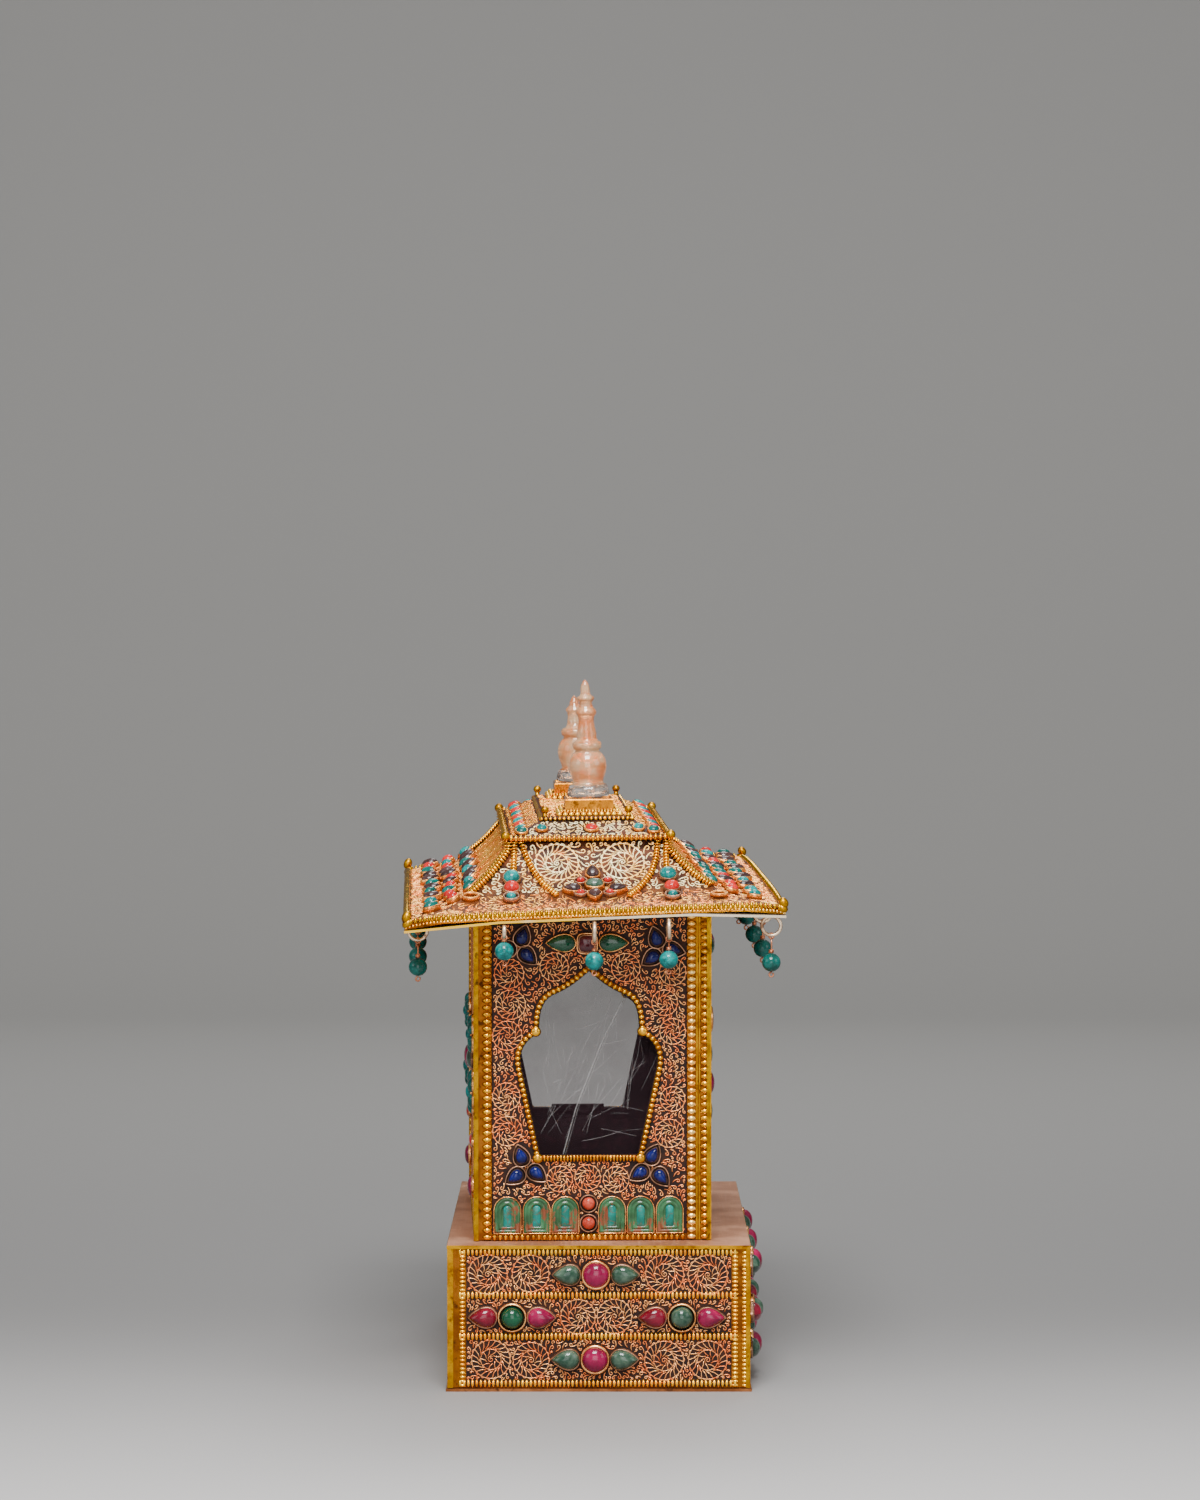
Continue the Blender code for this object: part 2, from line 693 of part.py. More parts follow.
def crest(centre, foot):
    """A square garnet between two pears that point outwards."""
    x, y = centre
    square = round_outline(6.6 * MM, 4, 0.5)
    stones = [stone(square, centre, foot, foot + 1.8 * MM, 1.2 * MM)]
    for way in (0.0, math.pi):
        beside = (x + 11.2 * MM * math.cos(way), y)
        stones.append(stone(pear_outline(14.0 * MM, 8.6 * MM, way), beside, foot, foot + 1.5 * MM, 1.6 * MM))
    return stones


def flower(centre, foot, radius):
    """A carved turquoise flower: five petals round a button."""
    points = []
    for k in range(10):
        turn = math.pi * k / 5
        reach = radius * (1.0 if k % 2 else 0.78)
        points.append((reach * math.cos(turn), reach * math.sin(turn)))
    return stone(points, centre, foot, foot + 1.6 * MM, 2.6 * MM)


def jamb_stones(sunk):
    """The stones beside the front window, mirrored about its middle."""
    stones = []
    for way in (-1, 1):
        x = way * 61 * MM
        stones += cluster((x, 186 * MM), sunk, 3.0 * MM, 2.6 * MM)
        stones += cluster((x, 126 * MM), sunk, 3.0 * MM, 2.6 * MM, upright=True)
        stones.append(stone(round_outline(6.5 * MM), (x, 153.5 * MM), sunk, 4.4 * MM, 0.8 * MM))
        stones += trefoil((x, 91 * MM), (90, 205, 335), sunk)
        stones += [tile(way * u * MM, sunk) for u in (14, 27, 40, 53, 66)]
    stones += [small_round((0, height * MM), 3.8 * MM, sunk) for height in (69.4, 77.8)]
    return stones


def back_stones(sunk):
    stones = []
    for way in (-1, 1):
        x = way * 56 * MM
        stones.append(flower((x, 147 * MM), sunk, 8.6 * MM))
        stones.append(flower((x, 122 * MM), sunk, 10.2 * MM))
        stones.append(stone(leaf_outline(15 * MM, 6 * MM), (x, 101 * MM), sunk, sunk + 1.4 * MM, 1.4 * MM))
        stones.append(small_round((x, 81 * MM), 5.2 * MM, sunk))
    stones += cluster((0, 132 * MM), sunk, 3.0 * MM, 2.4 * MM)
    return stones


def far_stones(sunk):
    stones = crest((0, 188.4 * MM), sunk)
    for x, height, ways in ((-28, 92, (90, 205, 335)), (28, 92, (90, 205, 335))):
        stones += trefoil((x * MM, height * MM), ways, sunk)
    return stones


def make_body_panels():
    sunk = BODY_PLATE - GAP
    stones = {"near": [], "far": far_stones(sunk), "front": jamb_stones(sunk), "back": back_stones(sunk)}
    for side, gems in stones.items():
        plate, rim = body_plate(side)
        panel = add_part("body_panel_" + side, plate, "filigree", BODY, body_face(side))
        if rim + gems:
            fuse(panel, rim + gems)


def make_near_body_stones():
    frame = body_face("near")
    foot = BODY_PLATE + GAP
    middles = (-36.2, -23.8, -11.6, 8.2, 20.4, 32.7)
    for k, x in enumerate(middles, 1):
        add_part(f"tile_near_{k}", tile(x * MM, foot), "turquoise", BODY, frame)
    add_part("coral_near_upper", small_round((-1.7 * MM, 77.9 * MM), 3.6 * MM, foot), "coral", BODY, frame)
    add_part("coral_near_lower", small_round((-1.7 * MM, 69.6 * MM), 3.6 * MM, foot), "coral", BODY, frame)
    square, *pears = crest((-2.2 * MM, 188.6 * MM), foot)
    fuse(add_part("crest_gems_near", square, "garnet", BODY, frame), pears)
    trefoils = (
        (-31.4, 187.2, (60, 300, 190)),
        (28.4, 186.6, (120, 240, 350)),
        (-29.0, 92.6, (105, 220, 330)),
        (24.6, 92.6, (75, 210, 320)),
    )
    for k, (x, height, ways) in enumerate(trefoils, 1):
        first, *others = trefoil((x * MM, height * MM), ways, foot)
        fuse(add_part(f"lapis_near_{k}", first, "lapis", BODY, frame), others)


# Roof


def slope(part):
    """Half sizes and height of the lower tier's surface: part 0 is its top edge and 1 its eave."""
    edge = (EAVE_HALF[0] - EAVE_BAR - GAP, EAVE_HALF[1] - EAVE_BAR - GAP)
    half_x = TIER_HALF[0] + (edge[0] - TIER_HALF[0]) * part
    half_y = TIER_HALF[1] + (edge[1] - TIER_HALF[1]) * part
    return half_x, half_y, EAVE_SURFACE + STEEP_RISE * (1 - part) ** STEEPNESS


def open_shell(rings):
    """An open surface through rings, top first, with its faces looking outwards."""
    bm = bmesh.new()
    rows = [[bm.verts.new(point) for point in ring] for ring in rings]
    for above, below in zip(rows, rows[1:]):
        for k in range(len(above)):
            beside = (k + 1) % len(above)
            bm.faces.new((above[k], below[k], below[beside], above[beside]))
    mesh = bpy.data.meshes.new("shell")
    bm.to_mesh(mesh)
    bm.free()
    return mesh


def thicken(part, thickness):
    modifier = part.modifiers.new("sheet", "SOLIDIFY")
    modifier.thickness = thickness
    modifier.offset = -1
    return part


def make_roof_soffit():
    """A flat sheet under the eaves, open over the body, whose corners droop with the roof."""
    insets = (0, 14 * MM, EAVE_HALF[0] - 44.5 * MM)
    ways = [(inset, SOFFIT_TOP) for inset in insets] + [(inset, SOFFIT_UNDER) for inset in reversed(insets)]
    rings = [rectangle(EAVE_HALF[0] - inset, EAVE_HALF[1] - inset, height) for inset, height in ways]
    add_part("roof_soffit", settle(loft(rings, wrap=True)), "silvered_copper", BODY)


def slope_frame(side, across, part):
    """The frame on the lower tier at a place across a side, with Y up the slope and Z out of it."""
    near_x, near_y, high = slope(part - 0.02)
    far_x, far_y, low = slope(part + 0.02)
    if side in ("near", "far"):
        out, run = (near_y + far_y) / 2, far_y - near_y
    else:
        out, run = (near_x + far_x) / 2, far_x - near_x
    tilt = math.atan2(high - low, run)
    place = Matrix.Translation((across, -out, (high + low) / 2)) @ Matrix.Rotation(tilt, 4, "X")
    return Matrix.Rotation(math.radians(TURNS[side]), 4, "Z") @ place


def slope_stones():
    """The stones of the end slopes: three in a column at each hip, and a flower between them."""
    foot, collar = -1.0 * MM, 1.0 * MM
    stones = []
    for side in ("near", "far"):
        for across, part, radius in (
            (-34, 0.24, 3.4), (-34, 0.40, 3.1), (-34, 0.55, 2.7), (33, 0.22, 3.5), (33, 0.40, 3.2), (33, 0.55, 2.7),
        ):
            outline = round_outline(radius * MM, 6)
            frame = slope_frame(side, across * MM, part)
            stones.append(moved(stone(outline, (0, 0), foot, collar, 1.6 * MM), frame))
        for across, part, way in ((0, 0.26, 90), (-9.4, 0.45, 180), (9.4, 0.45, 0), (0, 0.50, 270)):
            outline = pear_outline(8.4 * MM, 6.6 * MM, math.radians(way), 6)
            frame = slope_frame(side, across * MM, part)
            stones.append(moved(stone(outline, (0, 0), foot, collar, 1.8 * MM), frame))
        frame = slope_frame(side, 0, 0.38)
        stones.append(moved(stone(round_outline(3.8 * MM, 6), (0, 0), foot, collar * 1.5, 1.8 * MM), frame))
    return stones


def hip_bar(way_x, way_y):
    """A bead line down the steep part of a hip."""
    rings = []
    for part in (0.02, 0.12, 0.24, 0.37):
        half_x, half_y, height = slope(part)
        x = way_x * half_x + UPPER_SHIFT * (1 - part)
        y = way_y * half_y
        w = 1.0 * MM
        along = Vector((way_x, way_y, 0)).normalized()
        side = Vector((-along.y, along.x, 0)) * w
        middle = Vector((x, y, height))
        up = Vector((along.x, along.y, 1)).normalized() * w
        rings.append([middle - side - up, middle + side - up, middle + side * 0.6 + up, middle - side * 0.6 + up])
    return loft(rings)


def make_roof_lower():
    parts = (0, 0.08, 0.2, 0.36, 0.58, 1)
    rings = [rectangle(*TIER_HALF, TIER_NECK, UPPER_SHIFT)]
    rings += [rectangle(*slope(part), UPPER_SHIFT * (1 - part)) for part in parts]
    tier = add_part("roof_lower", settle(open_shell(rings)), "filigree", BODY)
    thicken(tier, SHELL)
    hips = [hip_bar(x, y) for x in (-1, 1) for y in (-1, 1)]
    fuse(tier, [settle(mesh) for mesh in hips + slope_stones()])


def upper_frame(side, across, part):
    """The frame on the upper tier, with part running from its eave at 0 to the ridge at 1."""
    if side in ("near", "far"):
        eave, ridge = UPPER_EDGE_HALF[1], RIDGE_HALF[1]
    else:
        eave, ridge = UPPER_EDGE_HALF[0], RIDGE_HALF[0]
    rise = RIDGE_UNDER - GAP - UPPER_EDGE
    out = eave + (ridge - eave) * part
    tilt = math.atan2(rise, eave - ridge)
    place = Matrix.Translation((across, -out, UPPER_EDGE + rise * part)) @ Matrix.Rotation(tilt, 4, "X")
    shift = Matrix.Translation((UPPER_SHIFT, 0, 0))
    return shift @ Matrix.Rotation(math.radians(TURNS[side]), 4, "Z") @ place


def make_roof_upper():
    ridge_half = (RIDGE_HALF[0] + 0.6 * MM, RIDGE_HALF[1] + 0.6 * MM)
    rings = [
        rectangle(*ridge_half, RIDGE_UNDER - GAP, UPPER_SHIFT),
        rectangle(*UPPER_EDGE_HALF, UPPER_EDGE, UPPER_SHIFT),
    ]
    tier = add_part("roof_upper", settle(open_shell(rings)), "filigree", BODY)
    thicken(tier, 1.0 * MM)
    foot, collar, crown = -0.6 * MM, 0.9 * MM, 1.4 * MM
    gem = round_outline(2.4 * MM, 6)
    stones = []
    for side in ("front", "back"):
        stones += [moved(stone(gem, (0, 0), foot, collar, crown), upper_frame(side, k * 23 * MM, 0.28)) for k in range(-3, 4)]
    for side in ("near", "far"):
        stones += [moved(stone(gem, (0, 0), foot, collar, crown), upper_frame(side, x * MM, 0.4)) for x in (-19.4, 2, 21)]
    fuse(tier, [settle(mesh) for mesh in stones])


def make_roof_ridge():
    """The ridge platform, with a ball on each corner."""
    x, y = RIDGE_HALF
    slab_mesh = box((UPPER_SHIFT - x, -y, RIDGE_UNDER), (UPPER_SHIFT + x, y, RIDGE_TOP))
    ridge = add_part("roof_ridge", settle(slab_mesh), "filigree", BODY)
    corners = [(UPPER_SHIFT + a * (x - 1.6 * MM), b * (y - 1.6 * MM), RIDGE_TOP + 1.6 * MM) for a in (-1, 1) for b in (-1, 1)]
    fuse(ridge, [settle(ball(corner, 2.2 * MM)) for corner in corners])


def make_eave_bead_frames():
    """The bead rows round both eaves, with a ball or two at every corner."""
    eave = add_part("eave_bead_frame", settle(hoop(EAVE_HALF, EAVE_BAR, SOFFIT_TOP + GAP, EAVE_BAR_TOP)), "gilt_beads", BODY)
    balls = []
    for a in (-1, 1):
        for b in (-1, 1):
            x, y = a * (EAVE_HALF[0] - 1 * MM), b * (EAVE_HALF[1] - 1 * MM)
            balls.append(ball((x, y, EAVE_BAR_TOP + 1.2 * MM), CORNER_BALL))
    fuse(eave, [settle(mesh) for mesh in balls])
    low, high = UPPER_BAR
    ring = hoop(UPPER_BAR_HALF, 2.2 * MM, low, high, UPPER_SHIFT)
    upper = add_part("upper_bead_frame", settle(ring), "gilt_beads", BODY)
    balls = []
    for a in (-1, 1):
        for b in (-1, 1):
            x, y = UPPER_SHIFT + a * UPPER_BAR_HALF[0], b * UPPER_BAR_HALF[1]
            balls.append(ball((x, y, high + 0.4 * MM), 2.0 * MM))
    fuse(upper, [settle(mesh) for mesh in balls])


def make_sockets_and_spires():
    spires = {"near": NEAR_SPIRE, "far": FAR_SPIRE}
    for end, (x, y) in SOCKETS.items():
        steps = []
        low = RIDGE_TOP + GAP
        for half, rise in SOCKET_STEPS:
            high = RIDGE_TOP + GAP + rise
            steps.append(settle(box((x - half, y - half, low), (x + half, y + half, high))))
            low = high - GAP
        fuse(add_part("finial_socket_" + end, steps[0], "gilt_sheet", BODY), steps[1:])
        profile = [(radius * MM, height * MM) for radius, height in reversed(spires[end])]
        spire = add_part("finial_" + end, turned(profile), "crystal", BODY)
        foot = high + lean(x, y, high) + SPIRE_SEAT
        spire.location = (x, y, foot)
        spire.rotation_euler = (math.atan(LEAN_ALONG), -SPIRE_LEAN, 0)
        screw = spire.modifiers.new("turned", "SCREW")
        screw.steps = screw.render_steps = 9
        screw.use_merge_vertices = True
        screw.merge_threshold = 0.05 * MM


def turned(profile):
    """A profile that runs down its outer side, closed to the axis at its foot."""
    mesh = bpy.data.meshes.new("profile")
    points = [(radius, 0, height) for radius, height in profile] + [(0, 0, profile[-1][1])]
    edges = [(k, k + 1) for k in range(len(points) - 1)]
    mesh.from_pydata(points, edges, [])
    return mesh


# Hanging drops


def drop_mesh(length, along_y):
    """A ring, a bead under it and the wire through both, hanging from the origin."""
    ring_radius = min(DROP_RING, (length - DROP_BEAD - 1.4 * MM) / 2)
    bm = bmesh.new()
    foot = -length - DROP_BEAD - DROP_TAIL
    top = -2 * ring_radius + DROP_RING_WIRE
    wire = Matrix.Translation((0, 0, (foot + top) / 2))
    bmesh.ops.create_cone(
        bm, cap_ends=True, segments=3, radius1=DROP_WIRE, radius2=DROP_WIRE, depth=top - foot, matrix=wire
    )
    rod = finished(bm)
    count = 8
    middle = ring_radius - DROP_RING_WIRE
    rings = []
    for k in range(count):
        turn = 2 * math.pi * (k + 0.5) / count
        section = []
        for corner in range(3):
            angle = 2 * math.pi * corner / 3
            reach = middle + DROP_RING_WIRE * math.cos(angle)
            beside = DROP_RING_WIRE * math.sin(angle)
            across, up = reach * math.cos(turn), reach * math.sin(turn) - ring_radius
            section.append((beside, across, up) if along_y else (across, beside, up))
        rings.append(section)
    return ball((0, 0, -length), DROP_BEAD), [rod, loft(rings, wrap=True)]


def make_drops():
    for side, places in DROPS.items():
        for k, (along, length) in enumerate(places, 1):
            if side in ("near", "far"):
                x, y = along * MM, DROP_EDGE_Y * (-1 if side == "near" else 1)
            else:
                x, y = DROP_EDGE_X * (1 if side == "front" else -1), along * MM
            top = SOFFIT_UNDER + lean(x, y, SOFFIT_UNDER) - 2 * GAP
            frame = Matrix.Translation((x, y, top))
            bead, others = drop_mesh(length * MM, side in ("near", "far"))
            fuse(add_part(f"drop_{side}_{k}", bead, "turquoise", BODY, frame), others)


make_base_floor()
make_base_case()
make_base_bead_frame()
make_base_panels()
make_near_base_gems()
make_body_case()
make_body_lining()
make_panes()
make_body_bead_frame()
make_body_panels()
make_near_body_stones()
make_roof_soffit()
make_roof_lower()
make_roof_upper()
make_roof_ridge()
make_eave_bead_frames()
make_sockets_and_spires()
make_drops()
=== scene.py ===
"""Dresses the altar box: filigree wires, beaded edges, set stones, crystal spires and hanging beads.

Flat work is laid out in millimetres on its own face, X to the right and Y up along the wall or slope and
Z out of it, and a laying function then carries it to its place on the object, in metres.
"""

import math

import bmesh
import bpy
import numpy as np
from mathutils import Matrix, Vector


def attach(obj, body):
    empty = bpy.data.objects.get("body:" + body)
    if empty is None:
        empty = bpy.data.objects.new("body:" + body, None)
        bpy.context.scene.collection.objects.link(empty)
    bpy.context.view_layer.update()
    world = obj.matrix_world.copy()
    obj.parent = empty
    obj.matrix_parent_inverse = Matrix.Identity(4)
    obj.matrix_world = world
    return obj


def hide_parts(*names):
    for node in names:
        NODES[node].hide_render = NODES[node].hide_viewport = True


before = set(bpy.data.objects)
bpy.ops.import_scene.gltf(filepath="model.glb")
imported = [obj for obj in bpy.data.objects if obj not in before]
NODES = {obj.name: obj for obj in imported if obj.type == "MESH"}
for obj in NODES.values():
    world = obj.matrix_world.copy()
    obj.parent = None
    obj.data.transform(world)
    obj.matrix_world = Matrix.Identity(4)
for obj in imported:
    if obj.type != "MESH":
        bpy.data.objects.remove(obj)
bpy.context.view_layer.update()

MM = 0.001

# Sizes that the part was built with, in millimetres. A half is half a size across the near end, then half
# a size across the front.
GAP = 0.3
BASE_HALF = (64.0, 104.5)
BASE_LAYERS = 2.2
BASE_PLATE = 0.9
BASE_FOOT, BASE_TOP = 1.5, 60.5
BASE_ROWS = (3.2, 23.2, 40.6, 59.0)
BODY_OFFSET, BODY_TURN = -6.3, 2.3
BODY_HALF = (50.5, 92.0)
BODY_LAYERS = 2.3
BODY_PLATE = 1.2
BODY_FOOT = 62.3
BODY_ROW = 2.7
BODY_POST = 7.7
NEAR_POST = 40.1
TILE_WIDTH, TILE_HEIGHT, TILE_FOOT = 11.0, 15.2, 65.6
WINDOW_NECK = (22.6, 151.2)
PANE_FACE = -2.58
SOFFIT_UNDER = 204.4
EAVE_HALF = (79.7, 122.5)
EAVE_SURFACE = 208.3
EAVE_BAND_FOOT, EAVE_LOW_ROW = 205.5, 206.4
TIER_HALF = (34.2, 78.2)
TIER_EDGE = (77.4, 120.2)
TIER_NECK = 233.6
STEEP_RISE, STEEPNESS = 21.7, 2.6
UPPER_EDGE = 235.4
UPPER_EDGE_HALF = (33.2, 77.2)
UPPER_BAND_HALF = (34.9, 78.9)
UPPER_BAND_FOOT, UPPER_BAND_TOP = 233.9, 235.1
RIDGE_HALF = (19.6, 63.1)
RIDGE_UNDER, RIDGE_TOP = 241.6, 243.0
UPPER_SHIFT = -1.4
LEAN_ALONG = 0.030
LEAN_ACROSS, LEAN_ACROSS_TOP = 0.038, 0.009
CORNER_DROOP = 2.4
SOCKETS = {"near": (-0.1, -48.0), "far": (-1.8, 50.0)}
SOCKET_HEIGHT = 6.8
SPIRE_LEAN, SPIRE_SEAT, SPIRE_SIDES = 1.9, 0.65, 36
DROP_PLACE = (74.0, 120.6)
RING_RADIUS, DROP_RADIUS = 4.6, 4.0
WIRE, WIRE_RISE = 0.58, 0.42

# Beads: half widths across, along and out. Fineness counts a ball's segments and rings.
BASE_PITCH = 1.76
BASE_COLUMN_BEAD, BASE_ROW_BEAD = (1.5, 0.74, 1.15), (0.72, 1.75, 1.25)
BODY_PITCH, BODY_BEAD = 2.96, (2.1, 1.25, 1.4)
FINE, COARSE = (14, 9), (6, 4)

ENDS = ("near", "far")


# Shader graphs


class Paint:
    """A socket of a shader graph that takes arithmetic and makes further nodes in its own graph."""

    def __init__(self, tree, socket=None):
        self.tree = tree
        self.socket = socket

    def node(self, kind, settings, sockets, out=0):
        made = self.tree.nodes.new("ShaderNode" + kind)
        for name, value in settings.items():
            setattr(made, name, value)
        for name, value in sockets.items():
            if isinstance(value, Paint):
                self.tree.links.new(value.socket, made.inputs[name])
            else:
                made.inputs[name].default_value = value
        return Paint(self.tree, made.outputs[out])

    def math(self, operation, first, second=0.0):
        return self.node("Math", {"operation": operation}, {0: first, 1: second})

    def __add__(self, other):
        return self.math("ADD", self, other)

    def __sub__(self, other):
        return self.math("SUBTRACT", self, other)

    def __rsub__(self, other):
        return self.math("SUBTRACT", other, self)

    def __mul__(self, other):
        return self.math("MULTIPLY", self, other)

    def above(self, low, high):
        """0 below low and 1 above high, with a smooth rise between."""
        ends = {"Value": self, "From Min": low, "From Max": high}
        return self.node("MapRange", {"interpolation_type": "SMOOTHSTEP"}, ends)

    def blend(self, first, second):
        """The mix of two colours by this socket."""
        ends = {0: self, 6: colour(first), 7: colour(second)}
        return self.node("Mix", {"data_type": "RGBA"}, ends, out=2)


def colour(value):
    return value if isinstance(value, Paint) else (*value, 1.0)


def new_material(name, **constants):
    """A Principled material with constant sockets set, and a function that links the varying ones."""
    material = bpy.data.materials.new(name)
    material.use_nodes = True
    shader = material.node_tree.nodes["Principled BSDF"]
    for socket, value in constants.items():
        shader.inputs[socket.replace("_", " ")].default_value = value
    paint = Paint(material.node_tree)

    def link(**varying):
        for socket, value in varying.items():
            material.node_tree.links.new(value.socket, shader.inputs[socket.replace("_", " ")])

    return material, paint, link


def places(paint, stretch=(1, 1, 1)):
    """Object coordinates, stretched along each axis."""
    where = paint.node("TexCoord", {}, {}, out=3)
    return paint.node("Mapping", {}, {"Vector": where, "Scale": stretch})


def place_along(paint, axis):
    return paint.node("SeparateXYZ", {}, {"Vector": places(paint)}, out=axis)


def noise(paint, scale, detail, stretch=(1, 1, 1), rough=0.5):
    sockets = {"Vector": places(paint, stretch), "Scale": scale, "Detail": detail, "Roughness": rough}
    return paint.node("TexNoise", {}, sockets)


def bump(paint, height, strength, distance):
    return paint.node("Bump", {}, {"Height": height, "Strength": strength, "Distance": distance})


def worn_metal(name, bright, deep, tarnish, roughness=0.3, patch=90.0, metallic=0.85, grain=700.0):
    """Metal that shifts between a bright and a deep tone, with patches of tarnish."""
    material, paint, link = new_material(name, Metallic=metallic)
    tone = noise(paint, patch, 4.0).above(0.38, 0.62).blend(deep, bright)
    stain = noise(paint, patch * 2.3, 5.0, rough=0.6).above(0.54, 0.70)
    link(Base_Color=(stain * 0.85).blend(tone, tarnish))
    fine = noise(paint, grain, 2.0)
    link(Roughness=fine * 0.22 + stain * 0.25 + (roughness - 0.11))
    link(Normal=bump(paint, fine, 0.35, 0.0002))
    return material


def veined_stone(name, body, pale, vein, scale=160.0, vein_width=0.035, vein_share=0.8, roughness=0.1):
    """A polished opaque stone with cloudy tone and thin veins."""
    material, paint, link = new_material(name, Specular_IOR_Level=0.3)
    cloud = noise(paint, scale, 4.0).above(0.35, 0.68)
    lines = noise(paint, scale * 0.8, 5.0, rough=0.62)
    crack = (1.0 - paint.math("ABSOLUTE", lines - 0.5).above(0.0, vein_width)) * vein_share
    link(Base_Color=crack.blend(cloud.blend(body, pale), vein))
    link(Roughness=crack * 0.3 + roughness)
    return material


def gem(name, body, light, roughness=0.08, transmission=0.25, scale=120.0):
    """A glassy cabochon, cloudy inside."""
    constants = {"IOR": 1.5, "Transmission_Weight": transmission, "Specular_IOR_Level": 0.4}
    material, paint, link = new_material(name, **constants)
    cloud = noise(paint, scale, 4.0, rough=0.6).above(0.32, 0.75)
    link(Base_Color=cloud.blend(body, light))
    link(Roughness=noise(paint, scale * 3, 2.0) * 0.1 + roughness)
    return material


def carved_tile():
    """Green turquoise with red-brown matrix showing through towards the foot."""
    material, paint, link = new_material("turquoise_tile", IOR=1.42)
    height = place_along(paint, 2)
    cloud = noise(paint, 140, 4.0).above(0.35, 0.68)
    patch = noise(paint, 190, 5.0, (1, 1, 0.55), 0.7)
    worn = (patch - height.above(0.0655, 0.081) * 0.12).above(0.465, 0.53)
    stone = cloud.blend((0.014, 0.055, 0.018), (0.030, 0.125, 0.048))
    link(Base_Color=(worn * 0.8).blend(stone, (0.20, 0.032, 0.010)))
    link(Roughness=worn * 0.3 + 0.2)
    link(Normal=bump(paint, patch, 0.3, 0.0003))
    return material


def dull_sheet(name, worn, dark, eave_tones=None):
    """Sheet seen between the wires, its colour darkened as painted shade between them. A second, lighter pair of
    tones with less painted shade takes over at the eaves.
    """
    material, paint, link = new_material(name, Metallic=0.3, Specular_IOR_Level=0.3)
    patch = noise(paint, 220, 4.0)
    rubbed = patch.above(0.4, 0.65)
    tone = rubbed.blend(dark, worn)
    if eave_tones:
        tone = place_along(paint, 2).above(0.209, 0.216).blend(rubbed.blend(*eave_tones), tone)
    link(Base_Color=tone)
    link(Roughness=patch * 0.3 + 0.5)
    return material


def tier_sheet():
    """The lower tier's sheet: darkened above as painted shade between the wires, and a lighter orange with less
    painted shade towards the eaves.
    """
    eave_tones = ((0.05, 0.013, 0.002), (0.15, 0.042, 0.006))
    return dull_sheet("tier_sheet", (0.11, 0.028, 0.007), (0.03, 0.008, 0.003), eave_tones)


def soffit_metal():
    """The under-sheet of the eaves, gilt at the left and worn to silver at the right."""
    material, paint, link = new_material("soffit_sheet", Metallic=0.9)
    across = place_along(paint, 0)
    wear = noise(paint, 60, 5.0, rough=0.6)
    share = (across * 4.0 + wear).above(0.32, 0.62)
    link(Base_Color=share.blend((0.72, 0.42, 0.03), (0.66, 0.55, 0.40)))
    link(Roughness=wear * 0.3 + 0.25)
    return material


def sheet_copper():
    """Brown-pink copper sheet with brushed lines along its length."""
    material, paint, link = new_material("brushed_copper_sheet", Metallic=0.6)
    brush = noise(paint, 900, 3.0, (1, 0.03, 1))
    patch = noise(paint, 35, 5.0, rough=0.6)
    tone = patch.above(0.38, 0.66).blend((0.34, 0.15, 0.08), (0.54, 0.28, 0.17))
    link(Base_Color=(brush.above(0.5, 0.8) * 0.35).blend(tone, (0.62, 0.36, 0.23)))
    link(Roughness=brush * 0.2 + patch * 0.2 + 0.34)
    link(Normal=bump(paint, brush, 0.25, 0.0002))
    return material


def lining_board():
    material, paint, link = new_material("maroon_board", Specular_IOR_Level=0.2)
    rub = noise(paint, 220, 5.0, rough=0.65)
    link(Base_Color=rub.above(0.45, 0.75).blend((0.020, 0.001, 0.004), (0.058, 0.008, 0.018)))
    link(Roughness=rub * 0.3 + 0.4)
    link(Normal=bump(paint, rub, 0.3, 0.0003))
    return material


def clear_pane():
    tint = (0.055, 0.03, 0.038, 1)
    material, paint, link = new_material("clear_pane", Base_Color=tint, Specular_IOR_Level=0.1)
    haze = noise(paint, 60, 4.0, rough=0.6)
    link(Roughness=haze * 0.2 + 0.04)
    link(Alpha=haze.above(0.4, 0.8) * 0.06 + 0.08)
    return material


def scratch():
    material, paint, link = new_material("scratched_pane", Base_Color=(0.42, 0.41, 0.41, 1), Roughness=0.6)
    link(Alpha=noise(paint, 300, 3.0).above(0.3, 0.7) * 0.2 + 0.16)
    return material


def clear_crystal():
    material, paint, link = new_material("clear_crystal", IOR=1.5, Transmission_Weight=0.95)
    cloud = noise(paint, 260, 5.0, rough=0.65)
    link(Base_Color=cloud.above(0.5, 0.65).blend((0.90, 0.84, 0.80), (0.80, 0.52, 0.40)))
    link(Roughness=cloud * 0.1)
    link(Normal=bump(paint, noise(paint, 200, 2.0), 0.6, 0.0008))
    return material


def crystal():
    constants = {"IOR": 1.52, "Transmission_Weight": 0.75, "Specular_IOR_Level": 0.9}
    material, paint, link = new_material("rock_crystal", **constants)
    cloud = noise(paint, 90, 6.0, rough=0.65)
    link(Base_Color=cloud.above(0.42, 0.62).blend((1.0, 0.72, 0.42), (1.0, 0.34, 0.11)))
    link(Roughness=cloud.above(0.5, 0.75) * 0.06 + 0.02)
    link(Normal=bump(paint, noise(paint, 300, 3.0), 0.05, 0.0004))
    return material


